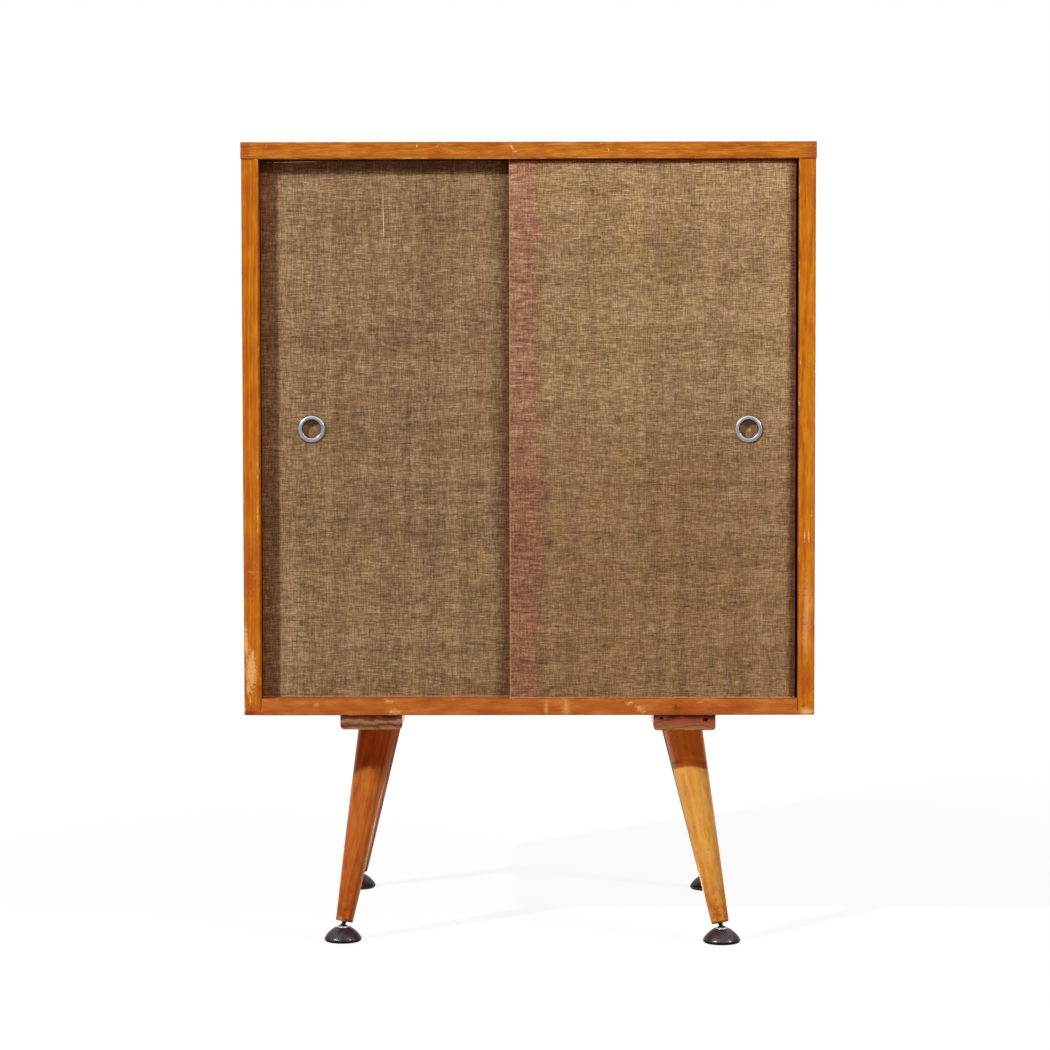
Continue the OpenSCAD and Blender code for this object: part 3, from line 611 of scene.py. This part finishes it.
# Height of the frayed edge over the lower end of a facing, just clear of the bottom board
frayed_up = 4.9
left_low, left_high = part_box("left_door_facing")
right_low, right_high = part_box("right_door_facing")
left_cloth = grass_cloth(
    "left_grass_cloth", 3.1, (shade(74, 50, 30), shade(137, 104, 71), shade(192, 160, 122)),
    [(0.0, (0.98, 0.98, 0.96, 1)), (0.35, (0.96, 0.95, 0.95, 1)), (0.8, (1.02, 1.02, 1.02, 1))],
    # Painted shade: shadows of the left side, the right door and the top board, and a dark line under the
    # top
    [(0, left_low.x, 1, 5, (0.85, 0.7, 0.65, 1)), (0, left_low.x, 1, 26, (0.86, 0.67, 0.55, 1)),
     (0, right_low.x, -1, 14, (0.66, 0.56, 0.5, 1)), (2, roof_z * MM, -1, 3, (0.3, 0.2, 0.2, 1)),
     (2, roof_z * MM, -1, 22, (0.60, 0.39, 0.31, 1))], None,
    [(-154.4, 777, 0.55, 21, 1), (-154.9, 804, 0.4, 11, 0), (-250, 843.4, 30, 0.5, 1)],
    [(2, left_low.z + frayed_up * MM, 1)], [(-231.4, 558.6, 16.4, 16.4, 0)])
right_cloth = grass_cloth(
    "right_grass_cloth", 8.6, (shade(80, 56, 34), shade(146, 113, 76), shade(200, 168, 128)),
    [(0.0, (0.82, 0.74, 0.68, 1)), (0.40, (0.84, 0.77, 0.72, 1)), (0.56, (1, 1, 1, 1)),
     (0.8, (1.03, 1.03, 1.03, 1)), (0.97, (1.16, 1.14, 1.14, 1))],
    # Painted shade: shadow of the right side, a dark line under the top and the top board's shadow
    [(0, right_high.x, -1, 12, (0.47, 0.33, 0.25, 1)), (2, roof_z * MM, -1, 3, (0.4, 0.3, 0.3, 1)),
     (2, roof_z * MM, -1, 7, (0.66, 0.31, 0.18, 1))],
    (right_low.x, 34 * MM), [], [(0, right_low.x, 1), (2, right_low.z + frayed_up * MM, 1)],
    [(234.7, 558.6, 16.4, 16.4, 0)])


def satin_metal(name, colour, roughness, marks=0.1, oxide=0.0, painted_shade_spots=()):
    """Metal with fine turning marks and a little handling wear.
    oxide is the share of a pale dull skin over it; its listed dark places are painted shade."""
    material, tree, shader = finish(name, Metallic=1.0 - oxide, Anisotropic=0.2)
    place = spot_of(tree)
    fine = noise(tree, place, 2600.0, 3.0, 0.6)
    handled = noise(tree, place, 260.0, 3.0, 0.6)
    dull = tuple(c * 0.72 for c in colour[:3]) + (1,)
    tone = blend(tree, rise(tree, handled, 0.45, 0.7, 0.0, 0.5), colour, dull)
    if painted_shade_spots:
        # Painted shade: dark at the inner edge of each pull's flange and down its bore, where the recess
        # lies in shadow.
        dark = spots(tree, place, painted_shade_spots, off_half(tree, 0.0, (handled, 0.12)), 0.92)
        tone = blend(tree, work(tree, "MULTIPLY", dark, 0.9), tone, shade(38, 26, 32))
    tree.links.new(tone, shader.inputs["Base Color"])
    rough = work(tree, "MULTIPLY_ADD", fine, marks, roughness)
    tree.links.new(work(tree, "MULTIPLY_ADD", handled, 0.12, rough), shader.inputs["Roughness"])
    bump(tree, shader, work(tree, "ADD", fine, handled), 0.03 * MM)
    return material


def brown_moulding(name, deep, light, gritty):
    """Dark brown half-gloss plastic of the glides, with painted shade under the belly."""
    material, tree, shader = finish(name, Coat_Weight=0.18, Coat_Roughness=0.1)
    place = spot_of(tree)
    mottle = noise(tree, place, 180.0, 3.0, 0.6)
    grit = noise(tree, place, 900.0, 3.0, 0.7)
    colour = ramp(tree, off_half(tree, mottle, (grit, gritty)), (0.3, deep), (0.7, light))
    height = add(tree, "SeparateXYZ", {0: place}).outputs[2]
    # Painted shade: black under the belly, where the dome curves in over the floor.
    colour = blend(tree, rise(tree, height, 3.4 * MM, 2.4 * MM), colour, shade(8, 3, 3))
    tree.links.new(colour, shader.inputs["Base Color"])
    tree.links.new(off_half(tree, 0.3, (grit, 0.3)), shader.inputs["Roughness"])
    bump(tree, shader, off_half(tree, mottle, (grit, 2 * gritty)), 0.12 * MM)
    return material


def bare_birch(name):
    """Unfinished birch of the dowels."""
    material, tree, shader = finish(name)
    place = spot_of(tree)
    fibres = noise(tree, stretch(tree, place, (400, 400, 60)), 1.0, 3.0, 0.6)
    tree.links.new(ramp(tree, fibres, (0.3, shade(196, 160, 112)), (0.7, shade(222, 192, 150))),
                   shader.inputs["Base Color"])
    tree.links.new(work(tree, "MULTIPLY_ADD", fibres, 0.2, 0.55), shader.inputs["Roughness"])
    bump(tree, shader, fibres, 0.08 * MM)
    return material


shelf_ply = birch_plywood("shelf_plywood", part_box("shelf"), thin_axis=2, plies=9)
back_ply = birch_plywood("back_plywood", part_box("back_panel"), thin_axis=1, plies=3)
door_board = pressed_board("door_board")
dowel_birch = bare_birch("dowel_birch")
aluminium = satin_metal(
    "satin_aluminium", shade(230, 228, 235), roughness=0.16, oxide=0.36,
    # Painted shade round the bore of each pull ring
    painted_shade_spots=[(-232.1, 559.6, 10.9, 10.9, 0), (233.9, 559.6, 10.9, 10.9, 0)])
nickel = satin_metal("bright_nickel", shade(236, 233, 230), roughness=0.14, marks=0.06, oxide=0.4)
zinc = satin_metal("dull_zinc", shade(178, 176, 170), roughness=0.34)
stud_steel = satin_metal("stud_steel", shade(92, 84, 82), roughness=0.3)
glide_plastic = {-1: brown_moulding("left_glide_plastic", shade(34, 22, 23), shade(66, 49, 50), gritty=0.9),
                 1: brown_moulding("right_glide_plastic", shade(47, 32, 34), shade(75, 57, 59), gritty=0.4)}

for node, material in (
    ("top_panel", top_maple), ("left_side", left_maple), ("right_side", right_maple),
    ("bottom_panel", bottom_maple), ("back_panel", back_ply), ("shelf", shelf_ply),
    ("top_dowels", dowel_birch), ("bottom_dowels", dowel_birch),
    ("left_door_board", door_board), ("right_door_board", door_board),
    ("left_door_facing", left_cloth), ("right_door_facing", right_cloth),
    ("left_leg_rail", rail_maple["left"]), ("right_leg_rail", rail_maple["right"]),
):
    dress(node, material)


def spin_outline(form, outline, steps, closed=True):
    """Turns an outline of radius and height in millimetres round Z."""
    points = [form.verts.new((radius * MM, 0, height * MM)) for radius, height in outline]
    ends = list(zip(points, points[1:])) + ([(points[-1], points[0])] if closed else [])
    lines = [form.edges.new(pair) for pair in ends]
    bmesh.ops.spin(form, geom=points + lines, cent=(0, 0, 0), axis=(0, 0, 1), angle=2 * pi,
                   steps=steps, use_merge=True)
    bmesh.ops.remove_doubles(form, verts=form.verts, dist=1e-7)


def keep(form, name, material, slot, body, *nodes, crease=35):
    """Closes a form as a piece that rides on a body and stands for CAD nodes."""
    bmesh.ops.recalc_face_normals(form, faces=form.faces)
    mesh = bpy.data.meshes.new(name)
    form.to_mesh(mesh)
    form.free()
    mesh.materials.append(material)
    mesh.shade_smooth()
    mesh.set_sharp_from_angle(angle=radians(crease))
    piece = bpy.data.objects.new(name, mesh)
    bpy.context.scene.collection.objects.link(piece)
    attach(piece, body)
    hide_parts(*nodes)


def move(form, matrix):
    bmesh.ops.transform(form, verts=form.verts, matrix=matrix)


def set_in(form, part):
    """Adds a finished part to a form of several."""
    mesh = bpy.data.meshes.new("part")
    part.to_mesh(mesh)
    part.free()
    form.from_mesh(mesh)
    bpy.data.meshes.remove(mesh)


def leg_matrix(side, fore):
    """From a leg drawn upright to its place under the rail."""
    origin, lean = leg_frame(side, fore)
    return Matrix.Translation(origin) @ lean.to_matrix().to_4x4()


def arc(radius, start, end, count, centre=(0, 0)):
    """Points of an arc in radius and height, with its angles in degrees."""
    angles = [radians(start + (end - start) * i / count) for i in range(count + 1)]
    return [(centre[0] + radius * cos(a), centre[1] + radius * sin(a)) for a in angles]


def pull_ring(side):
    """Pressed ring: rolled flange, bore and a thin collar in the recess."""
    low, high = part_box(f"{side}_pull_ring")
    bore_r = pull_bore_d / 2
    half_w = (pull_d / 2 - bore_r) / 2
    roll = [(bore_r + half_w * (1 + cos(radians(a))), pull_proud * sin(radians(a)) ** 0.7)
            for a in range(0, 151, 6)]
    collar_end = -facing_t - pull_collar
    outline = [(bore_r, collar_end), (bore_r + pull_wall, collar_end), (bore_r + pull_wall, 0.0)] + roll
    outline += [(bore_r + 0.08, pull_proud / 3 + 0.15), (bore_r, pull_proud / 3 - 0.1)]
    form = bmesh.new()
    spin_outline(form, outline, 120)
    place = Vector(((low.x + high.x) / 2, low.y + pull_proud * MM, (low.z + high.z) / 2))
    move(form, Matrix.Translation(place) @ Matrix.Rotation(radians(90), 4, "X"))
    keep(form, f"{side}_ring", aluminium, "satin_aluminium", f"{side}_door", f"{side}_pull_ring")


for side in ("left", "right"):
    pull_ring(side)


def turned_leg(name, side, fore):
    """Tapered leg with an eased foot, cut flat under its rail, and its tenon."""
    place = leg_matrix(side, fore)
    foot_r = leg_foot_d / 2
    length = leg_len[side]
    above = leg_top_d / 2 * tan(tilt[side]) + 2
    taper = (leg_top_d - leg_foot_d) / 2 / length
    form = bmesh.new()
    stem_seat = 0.4
    outline = [(stem_d / 2, -length + stem_seat), (stem_d / 2, -length)]
    for angle in range(0, 100, 10):
        width = foot_r - leg_foot_r + leg_foot_r * sin(radians(angle))
        outline.append((width, -length + leg_foot_r * (1 - cos(radians(angle)))))
    outline += [(foot_r + taper * h, -length + h) for h in (20, 60, 110, 160)]
    outline += [(leg_top_d / 2 + taper * above, above), (0, above), (0, -length + stem_seat)]
    spin_outline(form, outline, 96)
    move(form, place)
    cut = bmesh.ops.bisect_plane(form, geom=form.verts[:] + form.edges[:] + form.faces[:],
                                 plane_co=(0, 0, rail_z * MM), plane_no=(0, 0, 1), clear_outer=True)
    rim = [e for e in cut["geom_cut"] if isinstance(e, bmesh.types.BMEdge)]
    bmesh.ops.edgeloop_fill(form, edges=rim)
    leg = bpy.data.meshes.new("leg")
    form.to_mesh(leg)
    form.clear()
    tenon_r, root, chamfer, tip = tenon_d / 2, -4, 15.4, 16.2
    tenon = [(0, root), (tenon_r, root), (tenon_r, chamfer), (tenon_r - 0.8, tip), (0, tip)]
    spin_outline(form, tenon, 48)
    move(form, place)
    form.from_mesh(leg)
    bpy.data.meshes.remove(leg)
    keep(form, f"{name}_turned_leg", leg_maple[name], "maple_leg", "case", f"{name}_leg")


def ball_stud(name, side, fore):
    """Stud of a glide, from its ball to the stem in the leg."""
    place = leg_matrix(side, fore)
    low = -axis_len[side]
    ball_r, neck_r = ball_d / 2, neck_d / 2
    start = atan2(sqrt(ball_r ** 2 - neck_r ** 2), neck_r) * 180 / pi
    outline = [(r, low + h) for r, h in arc(ball_r, -90, start, 24)]
    collar, tip = low + neck_len, low + neck_len + stem_len
    outline += [(neck_r, collar - 1.1), (neck_r + 1.0, collar - 0.1), (stem_d / 2, collar),
                (stem_d / 2, tip - 0.6), (stem_d / 2 - 0.6, tip), (0, tip)]
    form = bmesh.new()
    spin_outline(form, outline, 48, closed=False)
    move(form, place)
    keep(form, f"{name}_ball_stud", stud_steel, "steel", "case", f"{name}_glide_stud")


def socket_point(height):
    """Where the round socket of the ball passes a height, in millimetres."""
    return sqrt((ball_d / 2 + ball_gap) ** 2 - (height - ball_z) ** 2), height


def glide_dome(name, side, fore):
    """Domed base of a glide: flat sole, round belly, domed flank and the socket of the ball."""
    steps, fullness, sole_inset = 36, 1.3, 2.5
    top_r, reach = glide_top_d / 2, (glide_d - glide_top_d) / 2
    flank = []
    for i in range(1, steps + 1):
        share = (1 - (i / steps) ** fullness) ** (1 / fullness)
        flank.append((top_r + reach * share, glide_belly + (glide_h - glide_belly) * i / steps))
    belly = []
    for angle in range(0, 99, 9):
        inset = sole_inset * (1 - sin(radians(angle)))
        belly.append((glide_d / 2 - inset, glide_belly * (1 - cos(radians(angle)))))
    seat_r = cap_d / 2 - cap_wall + 0.05
    seat = glide_h - cap_seat
    outline = [(0, 0), (16.2, 0), (16.8, 0.0)] + belly + flank
    outline += [(seat_r, glide_h), (seat_r, seat), socket_point(seat)]
    outline += arc(ball_d / 2 + ball_gap, 10, -90, 14, (0, ball_z))
    form = bmesh.new()
    spin_outline(form, outline, 128)
    move(form, Matrix.Translation(foot_place(side, fore)))
    keep(form, f"{name}_glide_dome", glide_plastic[side], "brown_plastic", f"{name}_glide",
         f"{name}_glide_base")


def glide_collar(name, side, fore):
    """Pressed cap that holds the ball down, with a rounded shoulder and an open lip."""
    socket_r, lip_r = ball_d / 2 + ball_gap, ball_d / 2 - 0.25
    cap_r, spigot_r = cap_d / 2, cap_d / 2 - cap_wall
    top, seat = glide_h + cap_h, glide_h - cap_seat
    lip_z = ball_z + sqrt(socket_r ** 2 - lip_r ** 2)
    outline = [(spigot_r, seat), (spigot_r, glide_h), (cap_r - 0.15, glide_h), (cap_r, glide_h + 0.15)]
    outline += arc(1.0, 0, 90, 10, (cap_r - 1.0, top - 1.0))
    outline += [(lip_r + 0.2, top), (lip_r, top - 0.2), (lip_r, lip_z)]
    outline += [socket_point(height) for height in (lip_z - 0.35, lip_z - 0.75, seat)]
    form = bmesh.new()
    spin_outline(form, outline, 96)
    move(form, Matrix.Translation(foot_place(side, fore)))
    keep(form, f"{name}_glide_collar", nickel, "nickel", f"{name}_glide", f"{name}_glide_cap")


for name, side, fore in CORNERS:
    turned_leg(name, side, fore)
    ball_stud(name, side, fore)
    glide_dome(name, side, fore)
    glide_collar(name, side, fore)


def slotted_screw(form, place, shank_d, head_d, length, turn):
    """Countersunk screw with its head at the origin of place and its slot turned."""
    head_h = (head_d - shank_d) / 2
    part = bmesh.new()
    shank_r, head_r = shank_d / 2 * MM, head_d / 2 * MM
    bmesh.ops.create_cone(part, cap_ends=True, segments=40, radius1=shank_r, radius2=head_r,
                          depth=head_h * MM, matrix=Matrix.Translation((0, 0, -head_h / 2 * MM)))
    half = 0.09 * head_d * MM
    for push in (-half, half):
        bmesh.ops.bisect_plane(part, geom=part.verts[:] + part.edges[:] + part.faces[:],
                               plane_co=(0, push, 0), plane_no=(0, 1, 0))
    slot = [f for f in part.faces if f.normal.z > 0.9 and abs(f.calc_center_median().y) < half]
    sunk = bmesh.ops.extrude_face_region(part, geom=slot)
    bmesh.ops.delete(part, geom=slot, context="FACES_ONLY")
    floor = [v for v in sunk["geom"] if isinstance(v, bmesh.types.BMVert)]
    bmesh.ops.translate(part, verts=floor, vec=(0, 0, -0.16 * head_d * MM))
    shank = length - head_h
    middle = Matrix.Translation((0, 0, (-head_h - shank / 2) * MM))
    bmesh.ops.create_cone(part, cap_ends=True, segments=24, radius1=shank_r, radius2=shank_r,
                          depth=shank * MM, matrix=middle)
    move(part, place @ Matrix.Rotation(radians(turn), 4, "Z"))
    set_in(form, part)


def spaced(count, low, high):
    return [low + (high - low) * i / (count - 1) for i in range(count)]


def back_screws():
    """Slotted screws round the back panel, driven in from the back."""
    form = bmesh.new()
    facing_back = Matrix.Rotation(radians(-90), 4, "X")
    places = [(side * (inner_w / 2 + 4.5), z) for side in (-1, 1) for z in spaced(4, 332, 786)]
    places += [(x, z) for z in (267.5, 850.5) for x in spaced(3, -196.3, 196.3)]
    for i, (x, z) in enumerate(places):
        place = Matrix.Translation(Vector((x, back_y - 1, z)) * MM) @ facing_back
        slotted_screw(form, place, back_screw_d, back_head_d, back_screw_len, 37 * i % 180)
    keep(form, "slotted_back_screws", zinc, "steel", "case", "back_screws")


def rail_screws(side_name, side):
    """Slotted screws of one leg rail, driven up from below."""
    form = bmesh.new()
    facing_down = Matrix.Rotation(radians(180), 4, "X")
    for i, y in enumerate((-rail_screw_pitch, 0, rail_screw_pitch)):
        place = Matrix.Translation(Vector((rail_x[side], rail_y[side] + y, rail_z)) * MM) @ facing_down
        slotted_screw(form, place, rail_screw_d, rail_head_d, rail_t + rail_screw_in, 25 + 51 * i)
    keep(form, f"slotted_{side_name}_rail_screws", zinc, "steel", "case", f"{side_name}_rail_screws")


def shelf_pins():
    """Four steel pins with rounded ends under the shelf."""
    low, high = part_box("shelf_pins")
    form = bmesh.new()
    pin_r, inner_end, outer_end, rounding = pin_d / 2, -10, 9, 0.8
    outline = [(0, inner_end), (2.4, inner_end), (pin_r, -9.4), (pin_r, 8.2)]
    outline += arc(rounding, 0, 90, 6, (pin_r - rounding, 8.2)) + [(0, outer_end)]
    for side in (-1, 1):
        for y in (low.y + pin_d / 2 * MM, high.y - pin_d / 2 * MM):
            part = bmesh.new()
            spin_outline(part, outline, 32, closed=False)
            place = Matrix.Translation((side * inner_w / 2 * MM, y, (low.z + high.z) / 2))
            move(part, place @ Matrix.Rotation(radians(-90 * side), 4, "Y"))
            set_in(form, part)
    keep(form, "rounded_shelf_pins", zinc, "steel", "case", "shelf_pins")


back_screws()
rail_screws("left", -1)
rail_screws("right", 1)
shelf_pins()


def pale_floor():
    """Wide white floor that stays pale to the camera and keeps a soft shadow. In reflections alone it
    glows as a painted reflection: bright behind the cabinet and beside it, dark in front and under
    it, with one warm streak that the front left leg mirrors as a pale line."""
    form = bmesh.new()
    bmesh.ops.create_grid(form, x_segments=1, y_segments=1, size=40)
    bmesh.ops.translate(form, verts=form.verts, vec=(0, 0, -0.0003))
    mesh = bpy.data.meshes.new("floor")
    form.to_mesh(mesh)
    form.free()
    material = bpy.data.materials.new("studio_floor")
    material.use_nodes = True
    tree = material.node_tree
    tree.nodes.remove(tree.nodes["Principled BSDF"])
    away = add(tree, "VectorMath", {0: spot_of(tree)}, operation="LENGTH").outputs["Value"]
    glow = rise(tree, away, 0.5, 2.2, 0.905, 1.0)
    seen = add(tree, "AddShader", {
        0: add(tree, "Emission", {"Color": (1, 1, 1, 1), "Strength": glow}).outputs[0],
        1: add(tree, "BsdfDiffuse", {"Color": (0.12, 0.12, 0.12, 1)}).outputs[0]}).outputs[0]
    lit = add(tree, "BsdfDiffuse", {"Color": (0.6, 0.6, 0.6, 1)}).outputs[0]
    # Painted reflection: a warm streak seen only in the front left leg, and a haze beside the cabinet.
    x, y = add(tree, "SeparateXYZ", {0: spot_of(tree)}).outputs[:2]
    off_leg = work(tree, "ADD", x, 0.18)
    bearing = work(tree, "DIVIDE", work(tree, "ADD", y, 0.155), work(tree, "MAXIMUM", off_leg, 0.01))
    streak = work(tree, "MULTIPLY", rise(tree, bearing, 0.46, 0.62), rise(tree, bearing, 1.05, 0.9))
    streak = work(tree, "MULTIPLY", streak, rise(tree, off_leg, 0.08, 0.5, 1.0, 8.5))
    streak = work(tree, "MULTIPLY", streak, rise(tree, x, 0.31, 0.29))
    to_glide = add(tree, "VectorMath", {0: spot_of(tree), 1: foot_place(1, 1)}, operation="DISTANCE")
    streak = work(tree, "MULTIPLY", streak, rise(tree, to_glide.outputs["Value"], 0.03, 0.06))
    haze = work(tree, "MULTIPLY", rise(tree, x, -0.2, -0.3, 0.4, 1.5),
                work(tree, "MULTIPLY", rise(tree, y, -0.25, -0.1), rise(tree, y, 0.6, 0.4)))
    mirrored = work(tree, "ADD", haze, rise(tree, y, 1.1, 1.8, 0.05, 1.0))
    mirrored = add(tree, "AddShader", {
        0: add(tree, "Emission", {"Color": (1, 0.92, 0.76, 1), "Strength": mirrored}).outputs[0],
        1: add(tree, "Emission", {"Color": (1, 0.7, 0.45, 1), "Strength": streak}).outputs[0]}).outputs[0]
    ray = add(tree, "LightPath", {}).outputs
    lit = add(tree, "MixShader", {0: ray["Is Glossy Ray"], 1: lit, 2: mirrored}).outputs[0]
    whole = add(tree, "MixShader", {0: ray["Is Camera Ray"], 1: lit, 2: seen}).outputs[0]
    tree.links.new(whole, tree.nodes["Material Output"].inputs["Surface"])
    mesh.materials.append(material)
    floor = bpy.data.objects.new("floor", mesh)
    bpy.context.scene.collection.objects.link(floor)


def studio_world():
    """White to the camera, a soft light that is stronger from behind, and for reflections a
    dark front, a brighter back and a bright ceiling."""
    world = bpy.data.worlds.new("studio")
    bpy.context.scene.world = world
    world.use_nodes = True
    tree = world.node_tree
    tree.nodes.remove(tree.nodes["Background"])
    ray = add(tree, "LightPath", {}).outputs
    heading = add(tree, "TexCoord", {}).outputs["Generated"]
    y, z = add(tree, "SeparateXYZ", {0: heading}).outputs[1:]
    behind = rise(tree, y, 0.3, 1.0, 0.04, 0.6)
    behind = work(tree, "MAXIMUM", behind, rise(tree, z, 0.3, 0.75, 0.0, 0.9))
    mirrored = add(tree, "Background", {"Color": (1, 1, 1, 1), "Strength": behind}).outputs[0]
    white = add(tree, "Background", {"Color": (1, 1, 1, 1), "Strength": 1.0}).outputs[0]
    even = rise(tree, y, 0.1, 0.7, 0.05, 0.65)
    soft = add(tree, "Background", {"Color": (1, 1, 1, 1), "Strength": even}).outputs[0]
    glossy = add(tree, "MixShader", {0: ray["Is Glossy Ray"], 1: soft, 2: mirrored}).outputs[0]
    seen = work(tree, "MAXIMUM", ray["Is Camera Ray"], ray["Is Transmission Ray"])
    whole = add(tree, "MixShader", {0: seen, 1: glossy, 2: white}).outputs[0]
    tree.links.new(whole, tree.nodes["World Output"].inputs["Surface"])


def lamp(name, place, watts, width):
    """Round lamp at a place in metres that faces the middle of the cabinet."""
    light = bpy.data.lights.new(name, "AREA")
    light.shape = "DISK"
    light.size = width
    light.energy = watts
    rig = bpy.data.objects.new(name, light)
    rig.location = place
    rig.rotation_euler = (Vector(place) - Vector((0, 0, 0.5))).to_track_quat("Z", "Y").to_euler()
    rig.visible_camera = False
    bpy.context.scene.collection.objects.link(rig)


def studio_camera():
    camera = bpy.data.cameras.new("camera")
    camera.lens = 128.06
    camera.sensor_width = 36
    camera.shift_y = -0.03
    eye = bpy.data.objects.new("camera", camera)
    eye.location = (0.0111, -4.1935, 0.74)
    eye.rotation_euler = (radians(90 - 3.59), radians(0.09), radians(0.216))
    bpy.context.scene.collection.objects.link(eye)
    bpy.context.scene.camera = eye


pale_floor()
studio_world()
lamp("key", (-9.86, -9.25, 8.73), watts=2030, width=0.75)
lamp("fill", (3.7, -2.9, 2.9), watts=124, width=0.9)
studio_camera()
bpy.context.scene.view_settings.view_transform = "Standard"
